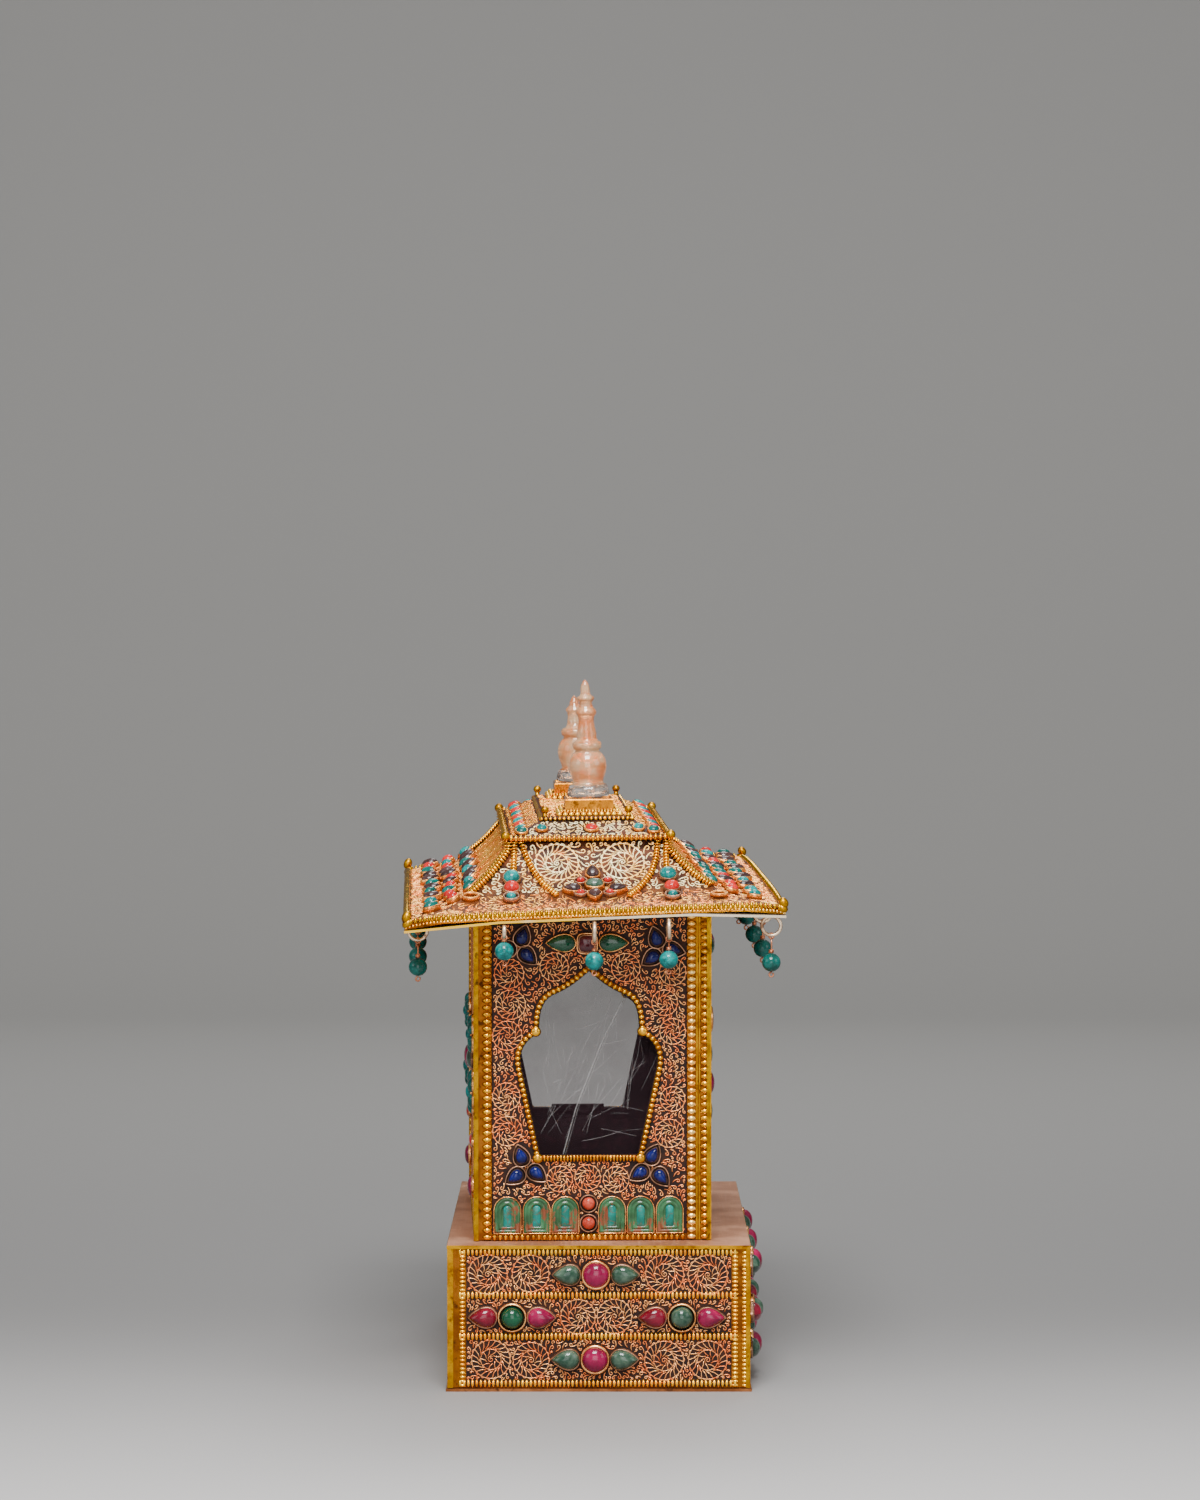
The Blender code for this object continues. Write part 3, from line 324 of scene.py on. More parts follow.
# Finishes, by the key that the pieces name them with. Every row begins with the material's own name.
# Metals: bright, deep and tarnished tone, roughness, scale of the patches, metallic, and scale of the grain
METALS = {
    "filigree": (
        "filigree_copper", (1.0, 0.47, 0.17), (1.0, 0.26, 0.07), (0.50, 0.08, 0.018), 0.26, 190, 0.6,
    ),
    # Pale cream wires: the copper filigree lightened as painted highlight where the light falls on the roof's
    # ends.
    "pale_filigree": (
        "filigree_painted_highlight", (1.0, 0.86, 0.46), (1.0, 0.53, 0.10), (0.90, 0.22, 0.02), 0.24, 150, 0.15,
    ),
    "orange_filigree": (
        "filigree_orange_copper", (1.0, 0.49, 0.095), (1.0, 0.25, 0.026), (0.60, 0.09, 0.006), 0.24, 170, 0.5,
    ),
    "golden_filigree": (
        "filigree_golden", (1.0, 0.48, 0.06), (1.0, 0.27, 0.018), (0.60, 0.09, 0.005), 0.26, 170, 0.75,
    ),
    "beads": ("gilt_beads", (0.84, 0.44, 0.022), (0.66, 0.29, 0.008), (0.36, 0.095, 0.003), 0.2, 60, 0.95),
    "pale_beads": ("pale_beads", (1.0, 0.68, 0.20), (1.0, 0.50, 0.07), (0.60, 0.19, 0.02), 0.22, 50, 0.95),
    "yellow_beads": (
        "yellow_beads", (1.0, 0.60, 0.04), (1.0, 0.45, 0.012), (0.60, 0.18, 0.004), 0.2, 60, 0.85,
    ),
    "eave_beads": (
        "eave_beads", (0.62, 0.36, 0.004), (0.44, 0.22, 0.002), (0.20, 0.065, 0.001), 0.2, 60, 0.95,
    ),
    "floor_sheet": ("floor_sheet", (0.40, 0.15, 0.05), (0.22, 0.07, 0.02), (0.05, 0.015, 0.006), 0.35, 90),
    "gilt": (
        "gilt_strip", (0.50, 0.245, 0.0006), (0.34, 0.14, 0.0004), (0.12, 0.03, 0.0004), 0.36, 130, 1.0, 900,
    ),
    "bright_gilt": (
        "bright_gilt", (0.36, 0.185, 0.0006), (0.20, 0.085, 0.0004), (0.07, 0.020, 0.0003), 0.34, 110, 1.0, 900,
    ),
    "box": ("copper_box", (0.95, 0.42, 0.10), (0.66, 0.22, 0.04), (0.22, 0.055, 0.01), 0.3, 120, 0.9),
    "amber_gilt": (
        "amber_gilt", (0.44, 0.165, 0.005), (0.26, 0.08, 0.002), (0.10, 0.024, 0.001), 0.24, 130, 0.95, 500,
    ),
    # Beds under the bead rows: copper whose darkened tone is partly its own and partly painted shade between the
    # beads and strips.
    "groove": (
        "orange_strip", (0.28, 0.092, 0.006), (0.16, 0.043, 0.003), (0.055, 0.013, 0.002), 0.4, 120, 0.9,
    ),
    "bezel": ("bezel_copper", (1.0, 0.52, 0.20), (0.62, 0.25, 0.08), (0.12, 0.03, 0.01), 0.24, 150, 1.0),
    "cup_wire": ("darkened_wire", (0.44, 0.23, 0.14), (0.20, 0.10, 0.055), (0.06, 0.03, 0.02), 0.36, 150),
    "silver": ("worn_silver", (0.80, 0.62, 0.44), (0.52, 0.34, 0.21), (0.22, 0.10, 0.045), 0.3, 140),
    "wire": ("copper_wire", (0.62, 0.24, 0.12), (0.34, 0.11, 0.05), (0.10, 0.03, 0.015), 0.34, 200),
}
# Sheets between the wires, and the cups under stones: worn and dark tone. Between the wires the dark tones are
# painted shade.
SHEETS = {
    "ground": ("darkened_sheet", (0.034, 0.010, 0.004), (0.012, 0.004, 0.003)),
    "warm_ground": ("orange_sheet", (0.075, 0.018, 0.005), (0.02, 0.006, 0.003)),
    "cup": ("darkened_cup", (0.075, 0.035, 0.022), (0.02, 0.01, 0.008)),
}
# Opaque stones: body, pale cloud and vein, scale, the veins' width and share, and roughness
STONES = {
    "turquoise": (
        "turquoise", (0.0, 0.10, 0.094), (0.0, 0.24, 0.23), (0.0, 0.025, 0.022), 260, 0.03, 0.6, 0.04,
    ),
    "malachite": (
        "green_turquoise", (0.0, 0.05, 0.04), (0.002, 0.12, 0.10), (0.001, 0.015, 0.013), 200, 0.03, 0.5,
    ),
    "tile_heart": (
        "tile_heart", (0.002, 0.10, 0.075), (0.002, 0.19, 0.16), (0.10, 0.05, 0.02), 200, 0.03, 0.7, 0.2,
    ),
    "coral": (
        "coral", (0.38, 0.006, 0.006), (0.52, 0.016, 0.012), (0.15, 0.004, 0.003), 200, 0.02, 0.5, 0.05,
    ),
    "dull_coral": (
        "dull_coral", (0.32, 0.027, 0.013), (0.50, 0.060, 0.030), (0.12, 0.008, 0.004), 200, 0.03, 0.5,
    ),
    "lapis": (
        "lapis", (0.001, 0.003, 0.05), (0.003, 0.007, 0.11), (0.012, 0.014, 0.06), 300, 0.015, 0.3, 0.08,
    ),
}
# Glassy stones: body and light, roughness, transmission and scale
GEMS = {
    "ruby": ("ruby", (0.16, 0.0, 0.028), (0.38, 0.002, 0.075)),
    "deep_ruby": ("deep_ruby", (0.12, 0.0, 0.008), (0.26, 0.002, 0.030)),
    "jade": ("jade", (0.006, 0.036, 0.020), (0.075, 0.125, 0.085), 0.05, 0.1, 230),
    "emerald": ("emerald", (0.0, 0.04, 0.016), (0.004, 0.10, 0.042)),
    "garnet": ("garnet", (0.018, 0.008, 0.008), (0.065, 0.028, 0.025), 0.12, 0.05),
    "wine": ("wine_garnet", (0.040, 0.001, 0.006), (0.12, 0.008, 0.016), 0.1, 0.1),
}


def make_materials():
    made = {}
    for maker, finishes in ((worn_metal, METALS), (dull_sheet, SHEETS), (veined_stone, STONES), (gem, GEMS)):
        made |= {key: maker(*values) for key, values in finishes.items()}
    others = {
        "tile": carved_tile, "sheet": sheet_copper, "tier_sheet": tier_sheet, "soffit": soffit_metal,
        "lining": lining_board, "pane": clear_pane, "scratch": scratch,
        "crystal": crystal, "clear_crystal": clear_crystal,
    }
    return made | {key: maker() for key, maker in others.items()}


# Meshes


class Pile:
    """Shapes gathered into one mesh, each worked on its own face and then laid in place."""

    def __init__(self, crisp=False):
        self.points = []
        self.faces = []
        self.total = 0
        self.crisp = crisp

    def add(self, points, *faces):
        flat = np.asarray(points, float).reshape(-1, 3)
        for group in faces:
            self.faces += (np.asarray(group, int) + self.total).tolist()
        self.points.append(flat)
        self.total += len(flat)

    def grid(self, rings, lay=np.asarray, wrap=False):
        """A skin through closed rings of points, capped at both ends or wrapped round to the first ring."""
        rings = np.array([lay(ring) for ring in rings], float)
        count, size = rings.shape[:2]
        here = np.arange(count if wrap else count - 1)[:, None] * size
        quads = ring_quads(here, (here + size) % (count * size), size)
        caps = [] if wrap else [[range(size)[::-1]], [range((count - 1) * size, count * size)]]
        self.add(rings, quads, *caps)

    def build(self, name, material, slot, *replaced):
        mesh = bpy.data.meshes.new(name)
        mesh.from_pydata(np.concatenate(self.points).tolist(), [], self.faces)
        if self.crisp:
            mesh.shade_flat()
        else:
            mesh.shade_smooth()
        return piece(name, mesh, material, slot, *replaced)


def piece(name, mesh, material, slot, *replaced):
    """A shown piece of the object that rides on its one body."""
    mesh.materials.clear()
    mesh.materials.append(MATERIALS[material])
    made = bpy.data.objects.new(name, mesh)
    bpy.context.scene.collection.objects.link(made)
    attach(made, "root")
    if replaced:
        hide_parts(*replaced)
    return made


def round_turn(count):
    """Angles spread evenly round a full turn."""
    return np.arange(count) / count * 2 * math.pi


def polar(reach, angle):
    return np.stack([reach * np.cos(angle), reach * np.sin(angle)], -1)


def swung(x, y, angle):
    """Flat coordinates turned by an angle."""
    return x * np.cos(angle) - y * np.sin(angle), x * np.sin(angle) + y * np.cos(angle)


def joined(x, y, z):
    """Points from three coordinates, each an array or one number for all."""
    return np.stack(np.broadcast_arrays(x, y, z), -1)


def raised(points, height):
    """Flat points at a height off their face."""
    return joined(points[:, 0], points[:, 1], height)


def unit(vectors):
    return vectors / np.maximum(np.linalg.norm(vectors, axis=-1, keepdims=True), 1e-9)


def ring_quads(here, above, size):
    """Quads between closed rings of points whose indices begin at here and at above."""
    column = np.arange(size)
    beside = (column + 1) % size
    return np.stack([here + column, here + beside, above + beside, above + column], -1).reshape(-1, 4)


def sphere(segments, rings):
    """Points, quads and triangles of a unit ball with its axis along Y."""
    turn = round_turn(segments)
    rise = (np.arange(1, rings) / rings - 0.5) * math.pi
    level = np.cos(rise)[:, None]
    sides = joined(level * np.cos(turn), np.sin(rise)[:, None], -level * np.sin(turn))
    points = np.concatenate([sides.reshape(-1, 3), [[0, -1, 0], [0, 1, 0]]])
    column = np.arange(segments)
    beside = (column + 1) % segments
    here = np.arange(rings - 2)[:, None] * segments
    last = (rings - 2) * segments
    feet = joined(beside, column, len(points) - 2)
    tips = joined(last + column, last + beside, len(points) - 1)
    return points, ring_quads(here, here + segments, segments), np.concatenate([feet, tips])


def beads(pile, lay, centres, size, fineness, angles=0.0):
    """Balls at centres (N, 3), size (across, along, out), turned by angles on their face.
    Fineness counts a ball's segments and rings."""
    ball, quads, triangles = sphere(*fineness)
    shape = ball * np.asarray(size)
    x, y = swung(shape[:, 0], shape[:, 1], np.broadcast_to(angles, len(centres))[:, None])
    points = joined(x, y, shape[:, 2]) + np.asarray(centres, float)[:, None]
    first = (np.arange(len(centres)) * len(ball))[:, None, None]
    pile.add(lay(points.reshape(-1, 3)), (first + quads).reshape(-1, 4), (first + triangles).reshape(-1, 3))


def wires(pile, lay, paths, base, width, rise=WIRE_RISE, closed=False):
    """Round-backed wires along paths (N, P, 2), lying on height base."""
    paths = np.asarray(paths, float)
    along = unit(np.roll(paths, -1, 1) - np.roll(paths, 1, 1) if closed else np.gradient(paths, axis=1))
    side = np.stack([-along[..., 1], along[..., 0]], -1) * width / 2
    count, length = paths.shape[:2]
    rows = np.zeros((count, length, 3, 3))
    rows[:, :, 0, :2] = paths + side
    rows[:, :, 1, :2] = paths - side
    rows[:, :, 2, :2] = paths
    rows[:, :, :2, 2] = base
    rows[:, :, 2, 2] = base + rise
    steps = np.arange(length if closed else length - 1)[None] * 3
    first = (np.arange(count) * length * 3)[:, None]
    here, there = first + steps, first + (steps + 3) % (length * 3)
    faces = []
    for a, b in ((0, 1), (1, 2), (2, 0)):
        faces.append(np.stack([here + b, here + a, there + a, there + b], -1).reshape(-1, 4))
    if not closed:
        last = first + (length - 1) * 3
        faces.append(np.concatenate([first + [0, 1, 2], last + [2, 1, 0]]))
    pile.add(lay(rows.reshape(-1, 3)), *faces)


def tube(pile, path, radius, sides, closed=False):
    """A round wire along a path in space, in metres."""
    path = np.asarray(path, float)
    along = unit(np.roll(path, -1, 0) - np.roll(path, 1, 0) if closed else np.gradient(path, axis=0))
    turn = round_turn(sides)[:, None]
    side = np.cross(along[0], (0.31, 0.52, 0.79))
    rings = []
    for point, forward in zip(path, along):
        side = side - forward * side.dot(forward)
        side /= np.linalg.norm(side)
        over = np.cross(forward, side)
        rings.append(point + radius * (np.cos(turn) * side + np.sin(turn) * over))
    pile.grid(rings, wrap=closed)


def dome(pile, lay, outline, low, high, rings, sink=0.6):
    """A cabochon over an outline, from height low to high."""
    middle = outline.mean(0)
    rows = [(1.0, low - sink)]
    for angle in np.arange(rings) / rings * math.pi / 2:
        rows.append((math.cos(angle) ** 0.9, low + (high - low) * math.sin(angle)))
    rows.append((0.02, high))
    pile.grid([raised(middle + (outline - middle) * scale, height) for scale, height in rows], lay)


def offset(outline, distance):
    """An outline moved outwards by distance, or inwards where it is negative."""
    before = unit(outline - np.roll(outline, 1, 0))
    after = unit(np.roll(outline, -1, 0) - outline)
    normal = unit(np.stack([before[:, 1] + after[:, 1], -before[:, 0] - after[:, 0]], -1))
    square = np.maximum(normal[:, 0] * before[:, 1] - normal[:, 1] * before[:, 0], 0.6)
    return outline + normal * distance / square[:, None]


def band(pile, lay, outline, profile):
    """A closed rim round an outline. The profile lists (distance outwards, height)."""
    pile.grid([raised(offset(outline, out), height) for out, height in profile[::-1]], lay, wrap=True)


def sheet(name, lay, outlines, top, node):
    """A panel's plate, from an outer outline and its holes, laid in place of a node."""
    curve = bpy.data.curves.new(name, "CURVE")
    curve.dimensions = "2D"
    curve.fill_mode = "BOTH"
    curve.extrude = (top - GAP) / 2
    for outline in outlines:
        spline = curve.splines.new("POLY")
        spline.points.add(len(outline) - 1)
        spline.use_cyclic_u = True
        for target, (x, y) in zip(spline.points, outline):
            target.co = (x, y, 0, 1)
    guide = bpy.data.objects.new(name, curve)
    bpy.context.scene.collection.objects.link(guide)
    seen = guide.evaluated_get(bpy.context.evaluated_depsgraph_get())
    mesh = bpy.data.meshes.new_from_object(seen)
    bpy.data.objects.remove(guide)
    bm = bmesh.new()
    bm.from_mesh(mesh)
    bmesh.ops.remove_doubles(bm, verts=bm.verts, dist=0.001)
    bmesh.ops.recalc_face_normals(bm, faces=bm.faces)
    bmesh.ops.translate(bm, verts=bm.verts, vec=(0, 0, (GAP + top) / 2))
    placed = lay(np.array([tuple(v.co) for v in bm.verts]))
    for vertex, where in zip(bm.verts, placed):
        vertex.co = where
    bm.to_mesh(mesh)
    bm.free()
    mesh.shade_flat()
    # The plate takes the dark ground: painted shade between the wires that lie on it.
    piece(name, mesh, "ground", "copper_sheet", node)


def block(pile, lay, low, high):
    """A bar between two corners, subdivided along its length so that it can follow a bent surface."""
    (x0, y0, z0), (x1, y1, z1) = low, high
    ring = np.array([(0, y0, z0), (0, y1, z0), (0, y1, z1), (0, y0, z1)], float)
    steps = np.linspace(x0, x1, max(2, int(abs(x1 - x0) / 8) + 2))
    pile.grid([ring + (x, 0, 0) for x in steps[::-1]], lay)


# Outlines, in millimetres


def circle(radius, centre=(0, 0), count=24):
    return polar(radius, round_turn(count)) + centre


def turned(points, angle, centre):
    c, s = math.cos(angle), math.sin(angle)
    return points @ np.array([[c, s], [-s, c]]) + centre


def pear(length, width, angle, centre, count=26):
    """A teardrop whose tip points along angle."""
    turn = round_turn(count)
    x = np.cos(turn) * length / 2
    y = np.sin(turn) * np.abs(np.sin(turn / 2)) ** 0.8 * width / 1.61
    return turned(np.stack([x, y], -1), angle, centre)


def eased(values, power):
    """Values from -1 to 1 raised to a power, with their signs kept."""
    return np.sign(values) * np.abs(values) ** power


def leaf(length, width, angle, centre, count=20):
    turn = round_turn(count)
    shape = np.stack([np.cos(turn) * length / 2, eased(np.sin(turn), 1.35) * width / 2], -1)
    return turned(shape, angle, centre)


def rounded_square(size, centre):
    return eased(polar(1, round_turn(24)), 0.55) * size / 2 + centre


def arch(width, height, centre):
    """A round-headed arch, its foot at centre."""
    half, spring = width / 2, height - width / 2
    head = polar(half, np.linspace(0, math.pi, 13)) + (0, spring)
    foot = np.array([(-half, spring / 2), (-half, 0), (-half / 2, 0), (0, 0), (half / 2, 0), (half, 0)])
    return np.concatenate([foot, [(half, spring / 2)], head]) + centre


def bezier(a, b, c, d, count):
    t = (np.arange(count) / count)[:, None]
    a, b, c, d = map(np.asarray, (a, b, c, d))
    return (1 - t) ** 3 * a + 3 * t * (1 - t) ** 2 * b + 3 * t * t * (1 - t) * c + t**3 * d


def window(stretch=1.0, shift=0.0):
    """The lobed outline from the sill's right end, over the peak, to its left end."""
    belly, neck, shoulder = (29.7, 134.5), WINDOW_NECK, (13.6, 168.8)
    sides = np.linspace((21.8, 97.3), belly, 8)[:-1]
    lobe = bezier(belly, (31.4, 142), (29.6, 147.5), neck, 9)
    upper = bezier(neck, (22.3, 158), (22.4, 166), shoulder, 9)
    point = bezier(shoulder, (8, 171.3), (3.2, 175.6), (0, 178.5), 8)
    right = np.concatenate([sides, lobe, upper, point])
    left = right[::-1] * (-1, 1)
    return np.concatenate([right, [(0, 178.5)], left]) * (stretch, 1) + (shift, 0)


def spaced(path, pitch):
    """Evenly spaced points along an open path, and the direction of the path at each."""
    path = np.asarray(path, float)
    steps = np.linalg.norm(np.diff(path, axis=0), axis=1)
    travelled = np.concatenate([[0], np.cumsum(steps)])
    count = max(2, round(travelled[-1] / pitch) + 1)
    at = np.linspace(0, travelled[-1], count)
    points = np.stack([np.interp(at, travelled, path[:, axis]) for axis in range(path.shape[1])], -1)
    ahead = np.gradient(points, axis=0)
    return points, np.arctan2(ahead[:, 1], ahead[:, 0])


# Laying work on the object's faces

BODY_ROOT = Matrix.Translation((BODY_OFFSET * MM, 0, 0)) @ Matrix.Rotation(math.radians(BODY_TURN), 4, "Z")
TURNS = {"near": 0, "front": 90, "far": 180, "back": 270}
SIDES = tuple(TURNS)


def reach_of(side, half):
    """How far a side stands from the middle, of a size's two halves."""
    return half[1] if side in ENDS else half[0]


def width_of(side, half):
    """Half of a side's width, of a size's two halves."""
    return half[0] if side in ENDS else half[1]


def laid(matrix):
    turn = np.array(matrix.to_3x3())
    shift = np.array(matrix.translation)
    return lambda points: (np.asarray(points) * MM) @ turn.T + shift


def wall(side, half, layers, root=Matrix()):
    """The outer face of a wall. Its lay has X to the right, Y up and Z outwards."""
    turn = Matrix.Rotation(math.radians(TURNS[side]), 4, "Z")
    out = Matrix.Translation((0, (layers - reach_of(side, half)) * MM, 0))
    return laid(root @ turn @ (out @ Matrix.Rotation(math.pi / 2, 4, "X")))


def lean(x, y, z):
    """How far the roof stands off its level place, in the body's frame."""
    up = np.clip((z - EAVE_SURFACE) / (UPPER_EDGE - EAVE_SURFACE), 0, 1)
    across = LEAN_ACROSS + (LEAN_ACROSS_TOP - LEAN_ACROSS) * up
    corner = (np.abs(x) / EAVE_HALF[0]) ** 10 * (np.abs(y) / EAVE_HALF[1]) ** 4
    return LEAN_ALONG * y + across * x - CORNER_DROOP * corner * (1 - up)


def settled(points):
    """Lays points of the level roof, in the body's frame, where the leaning roof has them."""
    points = np.array(points, float)
    points[:, 2] += lean(*points.T)
    return laid(BODY_ROOT)(points)


def face_turned(side, points):
    """Turns points that were set out for the near side to another side."""
    angle = math.radians(TURNS[side])
    c, s = round(math.cos(angle)), round(math.sin(angle))
    x, y, z = points.T
    return np.stack([x * c - y * s, x * s + y * c, z], -1)


def profile_lay(side, half, height, shift):
    """Lays work on a sloping side. Y runs up the slope and is 0 at its upper edge."""
    outs, heights = np.asarray(half, float), np.asarray(height, float)
    fall = np.concatenate([[0], np.cumsum(np.hypot(np.diff(outs), np.diff(heights)))])
    slope_out, slope_up = np.gradient(outs, fall), np.gradient(heights, fall)

    def lay(points):
        across, down, off = np.asarray(points, float).T
        down = -down
        out = np.interp(down, fall, outs) - np.interp(down, fall, slope_up) * off
        up = np.interp(down, fall, heights) + np.interp(down, fall, slope_out) * off
        placed = face_turned(side, np.stack([across, -out, up], -1))
        placed[:, 0] += np.interp(down, fall, shift)
        return settled(placed)

    lay.length = fall[-1]
    lay.fall = fall
    return lay


NECK = -0.08
SLOPE_PARTS = np.concatenate([[NECK], np.linspace(0, 1, 33)])


def slope_half(part):
    """The lower tier's two halves at a part of its run: 0 at the steep top, 1 at the eave."""
    return [top + (edge - top) * part for top, edge in zip(TIER_HALF, TIER_EDGE)]


def slope_height(part):
    """The lower tier's height at a part of its run."""
    return EAVE_SURFACE + STEEP_RISE * (1 - part) ** STEEPNESS


def lower_slope(side):
    parts = np.maximum(SLOPE_PARTS, 0)
    height = slope_height(parts)
    height[0] = TIER_NECK
    return profile_lay(side, reach_of(side, slope_half(parts)), height, UPPER_SHIFT * (1 - parts))


def upper_slope(side):
    half = np.linspace(reach_of(side, RIDGE_HALF) + 0.6, reach_of(side, UPPER_EDGE_HALF), 5)
    height = np.linspace(RIDGE_UNDER - GAP, UPPER_EDGE, 5)
    return profile_lay(side, half, height, np.full(5, UPPER_SHIFT))


def down_slope(side, part):
    """The Y on a lower slope's lay of a part of its run."""
    return -float(np.interp(part, SLOPE_PARTS, lower_slope(side).fall))


# Filigree: circles packed into a panel, each filled with a curl, round the larger medallions


def depth_inside(points, polygon):
    """Distance from each point to a polygon's edge, negative outside it."""
    a, b = polygon, np.roll(polygon, -1, 0)
    edge = b - a
    away = points[:, None] - a
    part = np.clip((away * edge).sum(-1) / np.maximum((edge**2).sum(-1), 1e-9), 0, 1)
    distance = np.linalg.norm(away - part[..., None] * edge, axis=-1).min(1)
    x, y = points[:, :1], points[:, 1:]
    straddles = (a[:, 1] > y) != (b[:, 1] > y)
    rise = np.where(edge[:, 1] == 0, 1e-9, edge[:, 1])
    crosses = straddles & (x < a[:, 0] + (y - a[:, 1]) * edge[:, 0] / rise)
    return np.where(crosses.sum(1) % 2 == 1, distance, -distance)


def packed(panel, holes, taken, sizes, seed):
    """Circles (x, y, radius) that fill a panel between its holes and the circles already taken."""
    random = np.random.default_rng(seed)
    low, high = panel.min(0), panel.max(0)
    large, cells, found = taken[taken[:, 2] > 2], {}, []
    for x, y, radius in taken[taken[:, 2] <= 2].tolist():
        cells.setdefault((x // 3, y // 3), []).append((x, y, radius))
    for size in sizes:
        spots = random.uniform(low, high, (int(np.prod(high - low) / size**2 * 2.4), 2))
        room = depth_inside(spots, panel)
        for hole in holes:
            room = np.minimum(room, -depth_inside(spots, hole))
        for x, y, radius in large:
            room = np.minimum(room, np.hypot(spots[:, 0] - x, spots[:, 1] - y) - radius)
        for x, y in spots[room > size * 0.92].tolist():
            column, row = x // 3, y // 3
            near = [c for i in (-1, 0, 1) for j in (-1, 0, 1) for c in cells.get((column + i, row + j), ())]
            if all((x - a) ** 2 + (y - b) ** 2 > (radius + size * 0.94) ** 2 for a, b, radius in near):
                cells.setdefault((column, row), []).append((x, y, size))
                found.append((x, y, size))
    return np.array(found, float).reshape(-1, 3)


def crozier(steps, loop):
    """A unit fern crozier: a bent stem and an open loop for its head."""
    turn = math.pi * (1 - np.linspace(0, 1, steps - 2) * (1.5 if loop > 0.17 else 1.1))
    head = np.stack([loop + loop * np.cos(turn), 0.96 - loop + loop * np.sin(turn)], -1)
    return np.concatenate([[(0.12, -0.02), (-0.02, 0.38)], head])


def croziers(pile, lay, feet, angles, lengths, hands, base, steps, width, loop=0.2):
    """Croziers from feet (N, 2), each pointing along its angle, coiled to the right or left."""
    shape = crozier(steps, loop)
    hands, lengths, angles = (np.broadcast_to(each, len(feet))[:, None] for each in (hands, lengths, angles))
    shapes = np.stack(swung(shape[:, 0] * hands, shape[:, 1], angles - math.pi / 2), -1)
    wires(pile, lay, shapes * lengths[:, None] + np.asarray(feet)[:, None], base, width)


def curls(pile, lay, circles, turns, hands, base, steps, width):
    """An open curl in each circle, begun at an angle and wound left or right."""
    part = np.linspace(0, 1, steps)
    curl = polar(0.78 - 0.32 * part, part[None] * 1.8 * math.pi * hands[:, None] + turns[:, None])
    wires(pile, lay, curl * circles[:, 2][:, None, None] + circles[:, None, :2], base, width)


def medallion(pile, lay, centre, radius, base, steps, hand, pitch, width):
    """A double ring with two rounds of slanted hooks and a wound heart."""
    edge = radius * 0.97
    heart = 1.5 if radius > 6 else 1.1
    hooks = (radius - heart) * 0.54
    ring = edge - hooks * 1.02
    wires(pile, lay, [circle(edge, centre, 30)], base, width, closed=True)
    start = centre[0] * 1.7 + centre[1] * 2.3
    for outer, room in ((edge, hooks), (ring, ring - heart)):
        turns = start + round_turn(max(6, round(2 * math.pi * (outer - room * 0.5) / pitch)))
        feet = polar(outer - room + 0.1, turns) + centre
        croziers(pile, lay, feet, turns + 0.75 * hand, room * 1.2, hand, base, steps, width, 0.165)
    wires(pile, lay, [circle(ring, centre, 24)], base, width * 0.9, closed=True)
    turns = np.linspace(0, 1.4, 14)
    path = polar(heart * (0.15 + 0.85 * turns / 1.4), start + hand * turns * 2 * math.pi)
    wires(pile, lay, [path + centre], base, width)


def inside(points, panel, holes, room):
    """Whether each point is at least room inside a panel and outside its holes."""
    clear = depth_inside(points, panel) > room
    for hole in holes:
        clear &= depth_inside(points, hole) < -room
    return clear


def sweeps(panel, holes, rounds, pitch, length, width, seed):
    """Combs of croziers in rings about each round, the longest first and shorter ones where they have room.
    Gives their feet, angles, hands and lengths, and the circles they fill."""
    filled = rounds
    found = []
    for share in (1.0, 0.75, 0.5):
        size = length * share
        rooms = np.array((0, 0.04, 0.2 * size + 0.04)) + width * 0.52
        layers = [k * length * 0.9 for k in range(5)] if share == 1 else [k * 1.5 for k in range(7)]
        for layer, away in enumerate(layers):
            for k, (x, y, radius) in enumerate(rounds):
                reach = radius + 0.45 + away
                number = int(2 * math.pi * reach / pitch * (1 if share == 1 else 2))
                turn = round_turn(number) + k + seed
                hand = 1 if (k + layer) % 2 else -1
                ahead = turn + 0.75 * hand
                foot = polar(reach, turn) + (x, y)
                way = polar(1, ahead)
                beside = np.stack([way[:, 1], -way[:, 0]], -1) * hand
                spots = foot[:, None] + size * np.stack([way * 0.05, way * 0.4, way * 0.74 + beside * 0.2], 1)
                good = inside(spots.reshape(-1, 2), panel, holes, np.tile(rooms, number)).reshape(-1, 3).all(1)
                local = filled[np.hypot(filled[:, 0] - x, filled[:, 1] - y) - filled[:, 2] < reach + size + 2]
                added = []
                for j in np.flatnonzero(good):
                    gap = np.hypot(local[:, :1] - spots[j, :, 0], local[:, 1:2] - spots[j, :, 1]) - local[:, 2:]
                    if (gap.min(0) < rooms * 0.96).any():
                        continue
                    taken = np.column_stack([spots[j], rooms])
                    local = np.concatenate([local, taken])
                    added.append(taken)
                    found.append((*foot[j], ahead[j], hand, size))
                if added:
                    filled = np.concatenate([filled, *added])
    return np.array(found, float).reshape(-1, 5), filled


